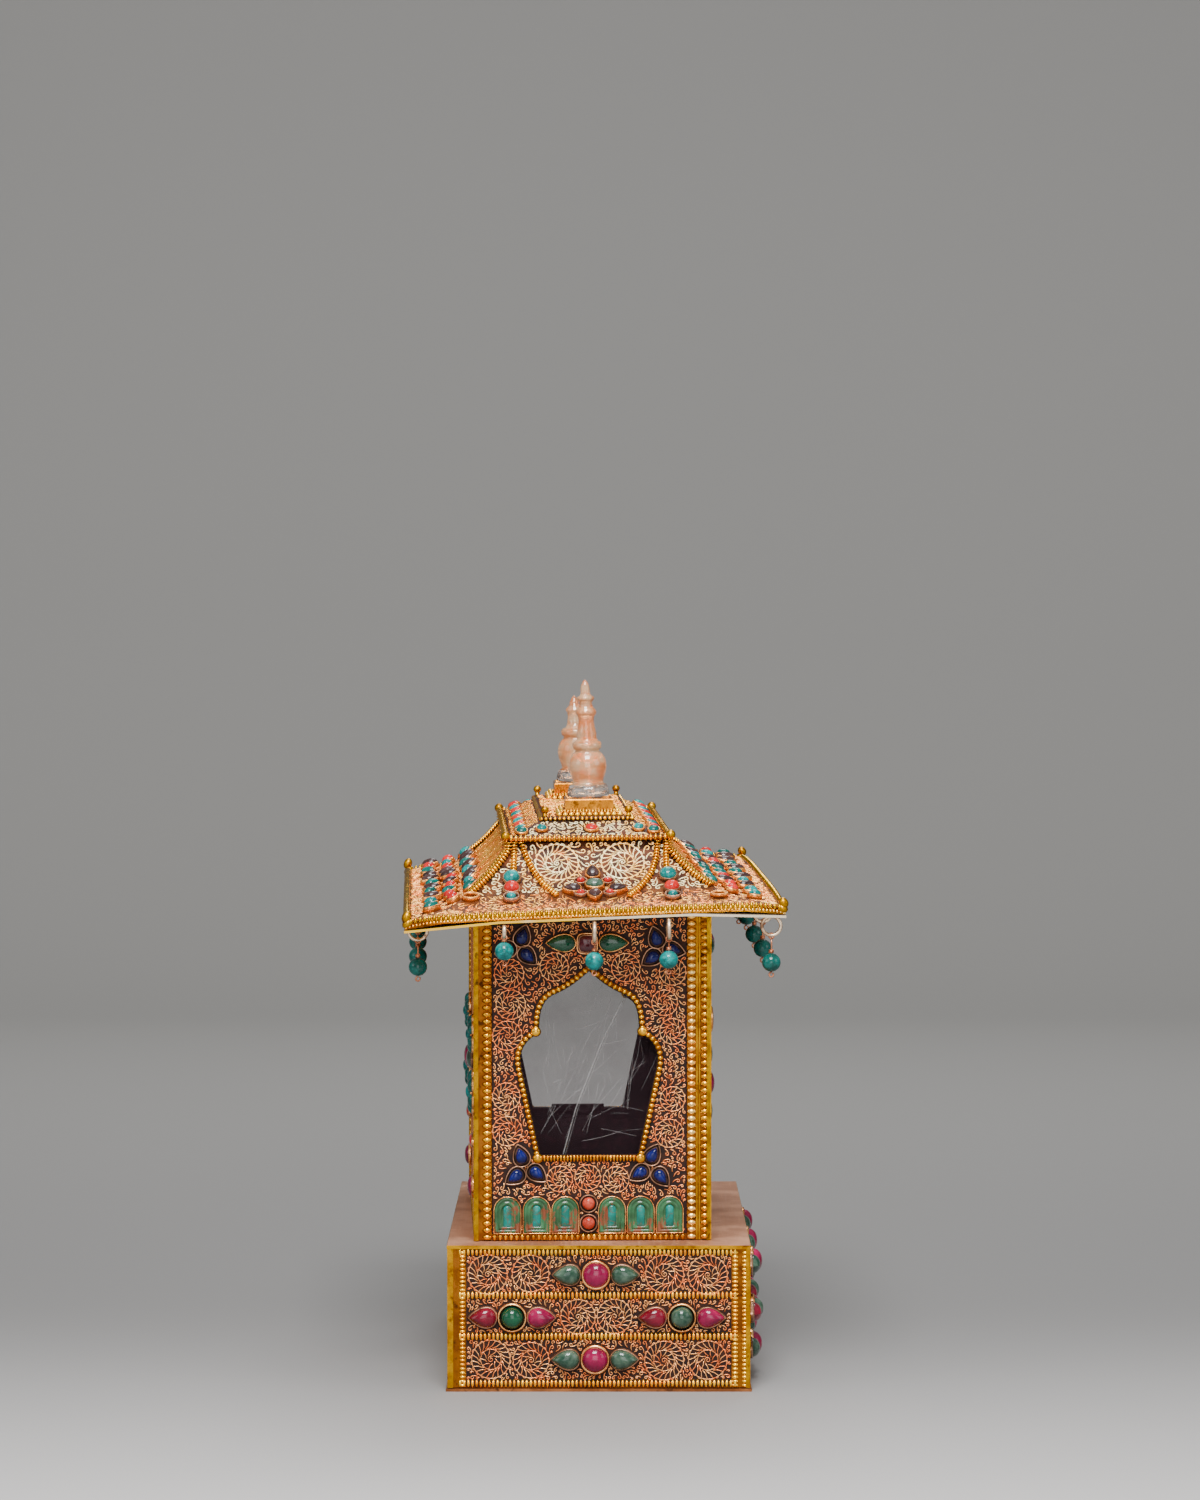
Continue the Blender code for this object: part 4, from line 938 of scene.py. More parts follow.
def filigree(
    pile, lay, panel, holes, medallions, stones, seed, base, steps, pitch, length, width=WIRE,
    whirl=(0.88, 0.86),
):
    """Fills a panel with wire work round its stones, which are circles (x, y, radius). The whirl gives the
    pitch and width of the wires in the medallions as shares of those outside them."""
    for k, (x, y, radius) in enumerate(medallions):
        hand = 1 if k % 2 else -1
        medallion(pile, lay, (x, y), radius, base, steps, hand, pitch * whirl[0], width * whirl[1])
    rounds = np.array([*medallions, *stones], float).reshape(-1, 3)
    found, taken = sweeps(panel, holes, rounds, pitch, length, width, seed)
    if len(found):
        croziers(pile, lay, found[:, :2], found[:, 2], found[:, 4], found[:, 3], base, steps, width)
    fine = min(pitch, 3.0)
    circles = packed(panel, holes, taken, (0.3 * fine + width * 0.5, 0.23 * fine + width * 0.5), seed)
    turns = 2.2 * np.sin(circles[:, 0] * 0.16 + seed) + 2.0 * np.cos(circles[:, 1] * 0.19)
    hands = np.where(np.sin(circles[:, 0] * 0.33 + seed) + np.cos(circles[:, 1] * 0.41) > 0, 1.0, -1.0)
    curls(pile, lay, circles, turns, hands, base, max(6, steps - 2), width)


def box_outline(left, low, right, high):
    return np.array([(left, low), (right, low), (right, high), (left, high)], float)


# Stones in their bezels


SLOTS = {
    "bezel": "copper_sheet", "box": "copper_sheet", "cup": "copper_sheet", "cup_wire": "copper_sheet",
    "dull_coral": "coral", "emerald": "jade", "wine": "garnet", "deep_ruby": "ruby",
    "malachite": "turquoise", "tile": "turquoise", "tile_heart": "turquoise",
}


class Jewels:
    """The stones of one part of the box, kept apart by colour, and their copper bezels."""

    def __init__(self, part, rim="bezel"):
        self.part = part
        self.rim = rim
        self.piles = {}

    def pile(self, kind):
        return self.piles.setdefault(kind, Pile())

    def set(self, lay, kind, outline, foot, collar, crown, wall=0.9, rings=6, edge=None):
        """A cabochon in a thick collar. The outline is the stone's, and the heights are from the wall."""
        dome(self.pile(kind), lay, outline, collar - 0.15, collar + crown, rings)
        rim = [(wall + 0.25, foot), (wall + 0.1, collar - 0.5), (wall, collar - 0.1)]
        rim += [(wall * 0.6, collar + 0.15), (0.05, collar + 0.1), (-0.3, collar - 0.4), (-0.3, foot)]
        band(self.pile(edge or self.rim), lay, outline, rim)

    def ringed(self, lay, kind, centre, radius, foot, collar, crown):
        """A round cabochon standing free inside a thick ring."""
        outline = circle(radius + 1.0, centre)
        dome(self.pile("cup"), lay, outline, foot, collar - 0.9, 2, 0.2)
        rim = [(0.55, foot), (0.55, collar - 0.5), (0.35, collar), (0.0, collar + 0.2), (-0.3, collar)]
        band(self.pile(self.rim), lay, outline, rim + [(-0.45, collar - 0.6), (-0.45, foot)])
        dome(self.pile(kind), lay, circle(radius, centre), collar - 0.9, collar + crown, 6)

    def sunk(self, lay, kind, outline, stone, foot, collar, crown):
        """A small cabochon in the middle of a wider dark cup with a wire edge."""
        dome(self.pile("cup"), lay, offset(outline, -0.3), foot, collar - 0.35, 2, 0.2)
        rim = [(0.0, foot), (0.0, collar - 0.1), (-0.2, collar), (-0.5, collar - 0.1), (-0.5, foot)]
        band(self.pile("cup_wire"), lay, outline, rim)
        dome(self.pile(kind), lay, stone, collar - 0.6, collar + crown, 5, 0.4)

    def build(self, replaced):
        for kind, pile in self.piles.items():
            nodes = replaced if kind == self.rim else ()
            pile.build(f"{self.part}_{kind}", kind, SLOTS.get(kind, kind), *nodes)


def cluster(jewels, lay, centre, middle_kind, pear_kind, foot, collar, crown, upright=False):
    """A round stone between two pears that point away from it."""
    x, y = centre
    angle = math.pi / 2 if upright else 0.0
    if middle_kind in ("jade", "emerald"):
        jewels.ringed(lay, middle_kind, centre, 4.7, foot, collar, crown)
    else:
        jewels.set(lay, middle_kind, circle(5.3, centre), foot, collar, crown)
    for way in (angle, angle + math.pi):
        outline = pear(11.4, 8.3, way, (x + 12.4 * math.cos(way), y + 12.4 * math.sin(way)))
        kind = "deep_ruby" if pear_kind == "ruby" and way > angle else pear_kind
        jewels.set(lay, kind, outline, foot, collar * 0.85, crown * 0.85, 0.45, 6, "cup_wire")


def trefoil(jewels, lay, spots, foot):
    """Three small lapis pears in wide dark cups, given as (x, y, direction in degrees)."""
    for x, y, degrees in spots:
        way = math.radians(degrees)
        outer = pear(10.4, 7.8, way, (x, y))
        inner = pear(6.6, 4.6, way, (x - 0.3 * math.cos(way), y - 0.3 * math.sin(way)))
        jewels.sunk(lay, "lapis", outer, inner, foot, foot + 1.5, 1.0)


def tile(jewels, lay, x, foot):
    """An arched tile carved with two grooves that follow its edge, in a rim of copper strip."""
    outline = arch(TILE_WIDTH, TILE_HEIGHT, (x, TILE_FOOT))
    top = foot + 1.4
    edge = ((0, -1.2), (-0.1, -0.2), (-0.4, 0.0), (-1.15, 0.1))
    grooves = ((-1.4, -0.3), (-1.65, -0.3), (-1.9, 0.15), (-2.65, 0.2), (-2.9, -0.25), (-3.6, -0.3))
    middle = np.array((x, TILE_FOOT + TILE_HEIGHT * 0.45))
    rings = [raised(offset(outline, out), top + high) for out, high in edge]
    for out, high in grooves:
        rings.append(raised(middle + (outline - middle) * (1 + out / np.array((5.5, 7.4))), top + high))
    jewels.pile("tile").grid(rings, lay)
    heart = arch(TILE_WIDTH * 0.31, TILE_HEIGHT * 0.62, (x, TILE_FOOT + TILE_HEIGHT * 0.15))
    dome(jewels.pile("tile_heart"), lay, heart, top - 0.2, top + 0.55, 3, 0.4)
    rim = [(0.42, foot), (0.42, top + 0.1), (0.22, top + 0.35), (0.02, top + 0.1), (0.0, foot)]
    band(jewels.pile("bezel"), lay, outline, rim)


# Plinth


def base_lay(side):
    return wall(side, BASE_HALF, BASE_LAYERS)


# Room that a cluster's stones take on both sides of its middle, as (distance, radius)
CLUSTER_ROOM = ((-16.0, 2.6), (-11.0, 5.0), (0, 6.4), (11.0, 5.0), (16.0, 2.6))
NEAR_BASE_MEDALLIONS = (
    (-46.9, 49.4, 8.5), (-28.8, 49.8, 8.0), (27.8, 49.6, 8.3), (46.0, 49.2, 8.5),
    (-8.8, 31.5, 7.5), (6.6, 31.6, 7.5),
    (-45.6, 13.4, 8.4), (-28.6, 13.0, 7.8), (27.6, 12.9, 8.5), (46.0, 13.1, 8.4),
)


def base_layout(side):
    """Stone clusters (x, height, middle, pears) and medallions (x, height, radius) of a plinth side."""
    if side == "near":
        clusters = [(-1.2, 49.4, "ruby", "jade"), (-36.6, 31.3, "emerald", "ruby")]
        clusters += [(35.0, 31.3, "jade", "ruby"), (-1.6, 13.5, "ruby", "jade")]
        return clusters, NEAR_BASE_MEDALLIONS
    if side == "far":
        clusters = [(0, 49.4, "ruby", "jade"), (-36, 31.3, "jade", "ruby")]
        clusters += [(36, 31.3, "jade", "ruby"), (0, 13.5, "ruby", "jade")]
        rounds = [(x, y, 7.9) for y in (49.6, 13.2) for x in (-46, -28.6, 28.6, 46)]
        return clusters, rounds + [(-8, 31.4, 7.4), (8, 31.4, 7.4)]
    clusters = [(x, y, "ruby", "jade") for y in (49.4, 13.5) for x in (-62, 0, 62)]
    clusters += [(x * 62.0, 31.3, "jade", "ruby") for x in (-1.26, -0.42, 0.42, 1.26)]
    rounds = [(x, y, 7.8) for y in (49.6, 13.2) for x in (-88, -39.5, -22.5, 22.5, 39.5, 88)]
    return clusters, rounds + [(x, 31.4, 7.2) for x in (-52, 0, 52)]


def dress_plinth():
    """The panels' sheets, stones and wire work. The plinth's back is plain."""
    jewels = Jewels("plinth")
    for number, side in enumerate(("near", "far", "front")):
        lay = base_lay(side)
        reach = width_of(side, BASE_HALF) - 8.0
        outline = box_outline(-reach, BASE_FOOT + GAP, reach, BASE_TOP)
        sheet("plinth_sheet_" + side, lay, [outline], BASE_PLATE, "base_panel_" + side)
        clusters, rounds = base_layout(side)
        collar, crown = (4.7, 4.0) if side == "front" else (3.2, 3.4)
        steps, pitch, length = (11, 2.2, 3.1) if side == "near" else (8, 2.5, 3.5)
        stones = []
        for x, y, middle, pears in clusters:
            cluster(jewels, lay, (x, y), middle, pears, BASE_PLATE, collar, crown)
            stones += [(x + dx, y, radius) for dx, radius in CLUSTER_ROOM]
        work = Pile()
        for k, (low, high) in enumerate(zip(BASE_ROWS, BASE_ROWS[1:])):
            panel = box_outline(-reach, low + 1.3, reach, high - 1.3)
            whirls, here = ([spot for spot in spots if low < spot[1] < high] for spots in (rounds, stones))
            seed = 10 * number + k
            filigree(work, lay, panel, [], whirls, here, seed, BASE_PLATE - 0.1, steps, pitch, length)
        work.build("plinth_filigree_" + side, "filigree", "filigree")
    jewels.build(["base_gems_near_" + place for place in ("top", "left", "right", "bottom")])


def dress_plinth_edges():
    """Flat corner strips, and beaded wire along every row and column."""
    strips, beds, row, lip = Pile(crisp=True), Pile(crisp=True), Pile(), Pile(crisp=True)
    heights = np.arange(BASE_FOOT + 1.0, BASE_TOP - 0.6, BASE_PITCH)
    for side in SIDES:
        lay = base_lay(side)
        half = width_of(side, BASE_HALF)
        fine = (9, 6) if side == "near" else COARSE
        for way in (-1, 1):

            def strip(pile, outer, inner, depth):
                left, right = sorted((way * (half - outer), way * (half - inner)))
                block(pile, lay, (left, BASE_FOOT, GAP), (right, BASE_TOP, depth))

            beaded = (side, way) in (("near", 1), ("front", -1))
            strip(beds, 2.1, 3.7, 1.0 if beaded else 1.3)
            if beaded:
                strip(strips, 0, 0.7, 1.6)
                strip(beds, 0.6, 2.2, 1.0)
                beads(row, lay, joined(way * (half - 2.3), heights, 1.2), BASE_COLUMN_BEAD, fine)
            else:
                strip(strips, 0, 2.5, 2.0)
            beads(row, lay, joined(way * (half - 6.4), heights, 1.1), BASE_COLUMN_BEAD, fine)
            strip(beds, 3.7, 8.0, 0.7)
        reach = half - 5.4
        across = np.arange(-reach, reach, BASE_PITCH)
        for height in BASE_ROWS:
            beads(row, lay, joined(across, height, 1.15), BASE_ROW_BEAD, fine)
            block(beds, lay, (-reach, height - 1.75, GAP), (reach, height + 1.75, 0.75))
        block(lip, lay, (-half, BASE_TOP - 0.1, 1.6), (half, BASE_TOP + 1.4, 2.4))
    lip.build("plinth_top_strip", "gilt", "gilt_beads")
    strips.build("plinth_corner_strips", "gilt", "gilt_beads", "base_bead_frame")
    beds.build("plinth_bead_beds", "groove", "gilt_beads")
    row.build("plinth_beaded_wire", "yellow_beads", "gilt_beads")


# Body


def body_lay(side):
    return wall(side, BODY_HALF, BODY_LAYERS, BODY_ROOT)


def seat(side, u):
    """Height of the walls' leaning top at a place along a side."""
    x, y, _ = face_turned(side, np.array([[u, BODY_LAYERS - reach_of(side, BODY_HALF), 0.0]]))[0]
    return SOFFIT_UNDER - GAP + LEAN_ALONG * y + LEAN_ACROSS * x


WINDOWS = {"near": window(shift=-1.5), "far": window(), "front": window(1.55)}

NEAR_BODY_MEDALLIONS = (
    (-35.4, 175.7, 6.4), (-16.3, 178.6, 6.2), (-34.7, 162.6, 6.4), (-36.2, 149.4, 6.4), (-36.6, 123.5, 6.0),
    (-36.2, 108.8, 6.4), (-14, 88.4, 5.6), (-2.1, 88.9, 5.6), (10.0, 88.0, 5.6), (34, 176.3, 5.8),
    (30.6, 163.2, 5.6), (34, 151.0, 5.6), (34, 122.2, 5.4), (32.6, 107.6, 6.2), (14.1, 178.2, 6.2),
)


def panel_outline(side):
    """A body panel between its corner posts and bead rows, under the leaning top."""
    half = width_of(side, BODY_HALF) - BODY_POST
    left, right = -half + GAP, (NEAR_POST if side == "near" else half) - GAP
    inset = BODY_ROW + GAP
    low, tops = BODY_FOOT + BODY_ROW + GAP, [seat(side, u) - inset for u in (right, left)]
    return np.array([(left, low), (right, low), (right, tops[0]), (left, tops[1])])


NEAR_TREFOILS = (
    ((-29.6, 192.0, 72), (-27.3, 183.2, 315), (-37.0, 185.8, 200)),
    ((26.9, 191.2, 108), (24.8, 182.2, 215), (34.6, 185.6, 345)),
    ((-30.5, 98.6, 108), (-33.1, 89.4, 215), (-23.4, 90.6, 320)),
    ((25.6, 98.8, 62), (19.6, 90.6, 212), (29.2, 88.9, 310)),
)
NEAR_TILES = (-36.2, -23.8, -11.6, 8.2, 20.4, 32.7)
NEAR_CORALS = (77.9, 69.6)


def crest(jewels, lay, x, y, foot):
    """A square stone in a square frame between two pears, over a window."""
    jewels.set(lay, "wine", rounded_square(6.8, (x, y)), foot, 3.1, 1.0, 0.45, 6, "cup_wire")
    rim = [(0.35, foot), (0.3, 2.4), (0.0, 2.6), (-0.3, 2.4), (-0.3, foot)]
    band(jewels.pile("bezel"), lay, rounded_square(8.6, (x, y)), rim)
    for way, at in ((0.0, x + 11.3), (math.pi, x - 11.2)):
        jewels.set(lay, "emerald", pear(12.2, 7.2, way, (at, y + 0.3)), foot, 2.9, 1.6, 0.35)


def near_stones(jewels, lay, foot):
    """Sets the stones of the near wall and gives the circles they fill, as each side's function does."""
    crest(jewels, lay, -2.3, 188.5, foot)
    for spots in NEAR_TREFOILS:
        trefoil(jewels, lay, spots, foot)
    for x in NEAR_TILES:
        tile(jewels, lay, x, foot)
    for y in NEAR_CORALS:
        jewels.sunk(lay, "dull_coral", circle(3.9, (-1.7, y), 20), circle(2.7, (-1.7, y), 18), foot, 2.6, 1.5)
    stones = [(-2.3, 188.5, 5.4)]
    stones += [(x, 188.8, radius) for x, radius in ((8, 4.4), (13, 3.0), (-12.6, 4.4), (-17.6, 3.0))]
    stones += [(x, y, 4.6) for spots in NEAR_TREFOILS for x, y, _ in spots]
    stones += [(x, y, 5.9) for x in NEAR_TILES for y in (71, 75.6)]
    return stones + [(-1.7, y, 4.0) for y in NEAR_CORALS]


def far_stones(jewels, lay, foot):
    crest(jewels, lay, 0, 188.4, foot)
    for x in (-28, 28):
        trefoil(jewels, lay, ((x, 97.2, 90), (x - 4.6, 89.4, 205), (x + 4.6, 89.4, 335)), foot)
    stones = [(x, y, 6.0) for x in (-28, 28) for y in (90, 97)]
    return stones + [(x, 188.4, 5.4) for x in (-13, -6, 0, 6, 13)]


def front_stones(jewels, lay, foot):
    stones = []
    for way in (-1, 1):
        x = way * 61
        cluster(jewels, lay, (x, 186), "ruby", "emerald", foot, 3.0, 2.6)
        cluster(jewels, lay, (x, 126), "ruby", "jade", foot, 3.0, 2.6, upright=True)
        for height, radius in ((3.2, 6.4), (4.4, 5.6)):
            dome(jewels.pile("bezel"), lay, circle(radius, (x, 153.5)), height, height + 0.7, 4, height - foot)
        trefoil(jewels, lay, ((x, 97.0, 90), (x - 4.8, 89.0, 205), (x + 4.8, 89.0, 335)), foot)
        for u in (14, 27, 40, 53, 66):
            tile(jewels, lay, way * u, foot)
            stones += [(way * u, y, 5.9) for y in (71, 75.6)]
        stones += [(x + dx, 186, 5.6) for dx in (-12, 0, 12)] + [(x, 126 + dy, 5.8) for dy in (-12, 0, 12)]
        stones += [(x, 153.5, 6.8), (x, 91.5, 8.6)]
    for y in (77.8, 69.4):
        jewels.set(lay, "coral", circle(2.9, (0, y), 18), foot, 2.7, 1.6, 0.5, 4)
        stones.append((0, y, 3.9))
    return stones


def flower(jewels, lay, centre, radius, foot):
    """A carved turquoise rosette: round petals about a button."""
    jewels.set(lay, "turquoise", circle(radius * 0.34, centre, 16), foot, foot + 2.0, 2.2, 0.4, 4)
    for k in range(6):
        way = k * math.pi / 3 + 0.5
        spot = (centre[0] + radius * 0.62 * math.cos(way), centre[1] + radius * 0.62 * math.sin(way))
        petal = pear(radius * 0.72, radius * 0.66, way + math.pi, spot, 16)
        jewels.set(lay, "malachite", petal, foot, foot + 1.4, 2.0, 0.25, 4)


def back_stones(jewels, lay, foot):
    stones = []
    for way in (-1, 1):
        x = way * 56
        flower(jewels, lay, (x, 147), 8.4, foot)
        flower(jewels, lay, (x, 122), 9.8, foot)
        jewels.set(lay, "coral", leaf(14, 5.2, 0, (x, 101)), foot, foot + 1.6, 1.2, 0.4, 4)
        jewels.set(lay, "ruby", circle(4.4, (x, 81), 20), foot, foot + 1.6, 1.8, 0.6, 5)
        stones += [(x, 147, 9.0), (x, 122, 10.6), (x - 4, 101, 4.0), (x + 4, 101, 4.0), (x, 81, 5.4)]
    cluster(jewels, lay, (0, 132), "ruby", "jade", foot, 3.0, 2.4)
    return stones + [(dx, 132, 5.8) for dx in (-12, 0, 12)]


def body_medallions(side):
    """The wound medallions (x, height, radius) of a body wall."""
    if side == "near":
        return NEAR_BODY_MEDALLIONS
    if side == "far":
        spots = ((34.5, 190), (35.4, 176), (35, 162.5), (36, 149.5), (36.2, 123), (36, 109), (19.4, 178.8))
        low = [(x, 74, 7.2) for x in (-32, -16, 0, 16, 32)] + [(-10, 88.4, 5.4), (3, 88.4, 5.4)]
        return [(way * x, y, 6.2) for way in (-1, 1) for x, y in spots] + low
    if side == "front":
        spots = ((76, 172), (61, 169.5), (76, 155.5), (76, 139.5), (76, 123), (76, 107), (38, 176), (76, 91))
        spots += ((38, 190), (22, 190))
        low = [(x, 88.6, 5.8) for x in (-40, -27, -13.5, 0, 13.5, 27, 40)] + [(0, 190, 7.2)]
        return [(way * x, y, 7.2) for way in (-1, 1) for x, y in spots] + low
    heights = (78, 97, 116, 150, 169, 188)
    grid = [(x, y, 8.4) for x in (-75, -36, -18, 18, 36, 75) for y in heights] + [(0, y, 8.4) for y in heights]
    return grid + [(-56, 183, 8.0), (56, 183, 8.0), (-57, 165, 7.6), (57, 165, 7.6)]


def dress_body():
    """The walls' sheets, stones and wire work. Weave gives the wires' steps, pitch and length."""
    jewels = Jewels("body")
    makers = {"near": near_stones, "far": far_stones, "front": front_stones, "back": back_stones}
    weave = {"near": (10, 2.2, 3.1), "back": (7, 3.4, 4.9)}
    for number, side in enumerate(SIDES):
        lay = body_lay(side)
        outline = panel_outline(side)
        window_of = [WINDOWS[side]] if side in WINDOWS else []
        holes = [offset(hole, -1.35) for hole in window_of]
        sheet("body_sheet_" + side, lay, [outline, *holes], BODY_PLATE, "body_panel_" + side)
        stones = makers[side](jewels, lay, BODY_PLATE)
        work = Pile()
        keep_off = [offset(hole, 1.2) for hole in window_of]
        made = (40 + number, BODY_PLATE - 0.1, *weave.get(side, (7, 2.8, 4.0)))
        filigree(work, lay, outline, keep_off, body_medallions(side), stones, *made)
        work.build("body_filigree_" + side, "filigree", "filigree")
    tiles, groups = ([f"{kind}_near_{k}" for k in range(1, last)] for kind, last in (("tile", 7), ("lapis", 5)))
    jewels.build([*tiles, "coral_near_upper", "coral_near_lower", "crest_gems_near", *groups])


def dress_windows():
    """Bead rims: balls up the sides, large balls at the corners, and narrow discs along the sill."""
    rims, beds, step = Pile(), Pile(), Pile()
    for side, outline in WINDOWS.items():
        lay = body_lay(side)
        points, angles = spaced(outline, 2.3)
        fine = (10, 6) if side == "near" else COARSE
        beads(rims, lay, raised(points, 2.1), (0.98, 1.3, 1.25), fine, angles)
        corners = outline[[0, -1]]
        necks = outline[np.abs(outline[:, 1] - WINDOW_NECK[1]) < 0.01]
        beads(rims, lay, raised(np.concatenate([corners, necks]), 2.2), (2.25, 2.25, 1.7), FINE)
        sill, turn = spaced(corners[::-1], 1.4)
        beads(rims, lay, raised(sill, 2.0), (0.58, 1.6, 1.2), (8, 5), turn)
        band(beds, lay, outline, [(1.0, 1.0), (1.0, 1.5), (-1.0, 1.5), (-1.0, -0.6), (-0.7, -0.6), (-0.7, 1.0)])
    rims.build("window_bead_rims", "beads", "gilt_beads")
    beds.build("window_rim_beds", "groove", "gilt_beads")
    block(step, body_lay("far"), (-11, 95.0, -2.6), (11, 99.4, -0.4))
    step.build("far_window_step", "lining", "maroon_lining")


def dress_body_edges():
    """Corner strips, and columns and rows of beads in grooves of darker copper, the darkness partly painted
    shade between beads and strips.
    """
    strips, edges, grooves, gilt, pale = Pile(crisp=True), Pile(crisp=True), Pile(crisp=True), Pile(), Pile()
    for side in SIDES:
        lay = body_lay(side)
        half = width_of(side, BODY_HALF)
        fine = (10, 7) if side == "near" else COARSE

        def strip(pile, left, right, depth):
            top = seat(side, (left + right) / 2) - GAP
            block(pile, lay, (left, BODY_FOOT, GAP), (right, top, depth))

        def column(pile, u):
            heights = np.arange(BODY_FOOT + 1.4, seat(side, u) - 1.0, BODY_PITCH)
            beads(pile, lay, joined(u, heights, 1.15), BODY_BEAD, fine)

        layers = ((edges, 0, 0.9, 1.75), (grooves, 0.9, 2.7, 1.3), (grooves, 2.7, BODY_POST, 0.75))
        for way in (-1,) if side == "near" else (-1, 1):
            for pile, outer, inner, depth in layers:
                strip(pile, *sorted((way * (half - outer), way * (half - inner))), depth)
            column(gilt, way * (half - 5.75))
        if side == "near":
            strip(grooves, NEAR_POST, 49.8, 0.75)
            strip(strips, 44.1, 44.6, 1.5)
            strip(strips, 45.2, 45.7, 1.5)
            column(pale, 42.1)
            column(gilt, 47.8)
            strip(strips, 49.8, half, 1.5)
        left, right = -half + 7.9, (40.0 if side == "near" else half - 7.9)
        across = np.arange(left + 1, right, 2.35)
        beads(gilt, lay, joined(across, BODY_FOOT + 1.4, 1.2), (1.0, 1.55, 1.25), fine)
        tops = np.array([seat(side, u) for u in across]) - 1.4
        beads(gilt, lay, joined(across, tops, 1.2), (1.0, 1.45, 1.25), fine)
        block(grooves, lay, (left, BODY_FOOT, GAP), (right, BODY_FOOT + 2.6, 0.75))
    edges.build("body_edge_strips", "bright_gilt", "gilt_beads")
    strips.build("body_corner_strips", "gilt", "gilt_beads", "body_bead_frame")
    grooves.build("body_grooves", "groove", "gilt_beads")
    gilt.build("body_bead_columns", "beads", "gilt_beads")
    pale.build("body_pale_bead_column", "pale_beads", "gilt_beads")


def dress_panes():
    """The near pane's scratches: one broad scrape across it and fine lines at all angles."""
    lines = Pile()
    lay = body_lay("near")
    smooth, _ = spaced([(14.0, 166), (4.0, 146), (-1.5, 132), (-7.0, 118), (-12.5, 98)], 2.0)
    wires(lines, lay, [smooth], PANE_FACE, 0.7, 0.02)
    wires(lines, lay, [smooth + (1.0, 0)], PANE_FACE, 0.25, 0.02)
    random = np.random.default_rng(5)
    t = np.linspace(0, 1, 6)
    for k in range(90):
        start = random.uniform((-22, 104), (22, 164))
        way = random.normal(1.35 if k % 3 else 0.3, 0.35)
        reach = random.uniform(4, 26)
        bend = random.normal(0, 0.08)
        path = start + polar(t, way + bend * t) * reach
        if inside(path, WINDOWS["near"], [], 0.5).all():
            wires(lines, lay, [path], PANE_FACE, random.uniform(0.08, 0.18), 0.015)
    lines.build("near_pane_scratches", "scratch", "clear_pane")


# Roof


def rectangle(half, height, shift, across=10, along=14):
    """A level ring of points round a rectangle."""
    corners = np.array(((-1, -1), (1, -1), (1, 1), (-1, 1))) * half
    points = []
    for k, (x, y) in enumerate(corners):
        to_x, to_y = corners[(k + 1) % 4]
        count = along if k % 2 else across
        for step in np.arange(count) / count:
            points.append((shift + x + (to_x - x) * step, y + (to_y - y) * step, height))
    return np.array(points)


def grown(half, by):
    """A size's two halves, each larger by a distance."""
    return half[0] + by, half[1] + by


def dress_roof_sheets():
    """The sheet of each tier under its wires, as a closed shell."""
    lower = [rectangle(TIER_HALF, TIER_NECK, UPPER_SHIFT)]
    for part in np.linspace(0, 1, 17):
        lower.append(rectangle(slope_half(part), slope_height(part), UPPER_SHIFT * (1 - part)))
    upper = [rectangle(grown(RIDGE_HALF, 0.6), RIDGE_UNDER - GAP, UPPER_SHIFT)]
    upper.append(rectangle(UPPER_EDGE_HALF, UPPER_EDGE, UPPER_SHIFT))
    # Both tiers' sheets are darkened as painted shade between the wires.
    tiers = (("lower", lower, 1.3, "tier_sheet"), ("upper", upper, 0.9, "warm_ground"))
    for tier, rings, depth, material in tiers:
        rings += [ring - (0, 0, depth) for ring in rings[::-1]]
        pile = Pile()
        pile.grid(rings[::-1], settled, wrap=True)
        pile.build(tier + "_tier_sheet", material, "copper_sheet", "roof_" + tier)


def trapezoid(side, lay):
    """The outline of a lower slope on its own lay."""
    parts = np.concatenate([[NECK], np.linspace(0, 1, 9)])
    half = width_of(side, slope_half(np.maximum(parts, 0)))
    right = np.column_stack([half - np.where(parts < 0.4, 1.6, 0.2), -np.interp(parts, SLOPE_PARTS, lay.fall)])
    left = right[::-1] * (-1, 1)
    return np.concatenate([right[::-1], left[::-1]])


# Strings of beads, settings and stones on the lower slopes, as places across and parts of the run
HIP_PARTS = (NECK, *np.linspace(0, 0.39, 7))
NEAR_SWAGS = (
    ((-28.4, NECK), (-26.6, 0.05), (-24.0, 0.164), (-20.4, 0.302), (-14.8, 0.476)),
    ((29.8, NECK), (28.6, 0.089), (26.0, 0.227), (21.2, 0.382), (15.9, 0.538)),
    ((-31.4, NECK), (-32.2, 0.171)),
    ((33.2, NECK), (32.8, 0.175)),
)
END_COLUMNS = (
    (-33.2, 0.245, 3.2, "turquoise"), (-33.5, 0.371, 3.0, "coral"), (-34.0, 0.51, 2.5, "turquoise"),
    (33.1, 0.252, 3.3, "turquoise"), (34.1, 0.43, 3.0, "coral"), (34.0, 0.585, 2.4, "turquoise"),
)
SLOPE_COLUMNS = {
    "front": (
        (0.36, "malachite turquoise malachite malachite garnet malachite turquoise garnet malachite garnet"),
        (0.57, "coral coral garnet coral malachite malachite garnet coral garnet turquoise coral"),
        (0.78, "turquoise turquoise garnet turquoise garnet malachite garnet malachite garnet garnet malachite"),
    ),
    "back": (
        (0.36, "malachite turquoise garnet garnet turquoise garnet malachite garnet garnet turquoise"),
        (0.57, "coral coral malachite coral garnet coral garnet garnet coral turquoise coral"),
        (0.78, "malachite turquoise garnet malachite garnet malachite garnet garnet malachite coral garnet"),
    ),
}


def roof_stone(jewels, lay, kind, outline, rise, crown, edge=None):
    """A stone in a tall copper box that stands on the roof."""
    jewels.set(lay, kind, outline, -0.2, rise, crown, 0.35, 4, edge)


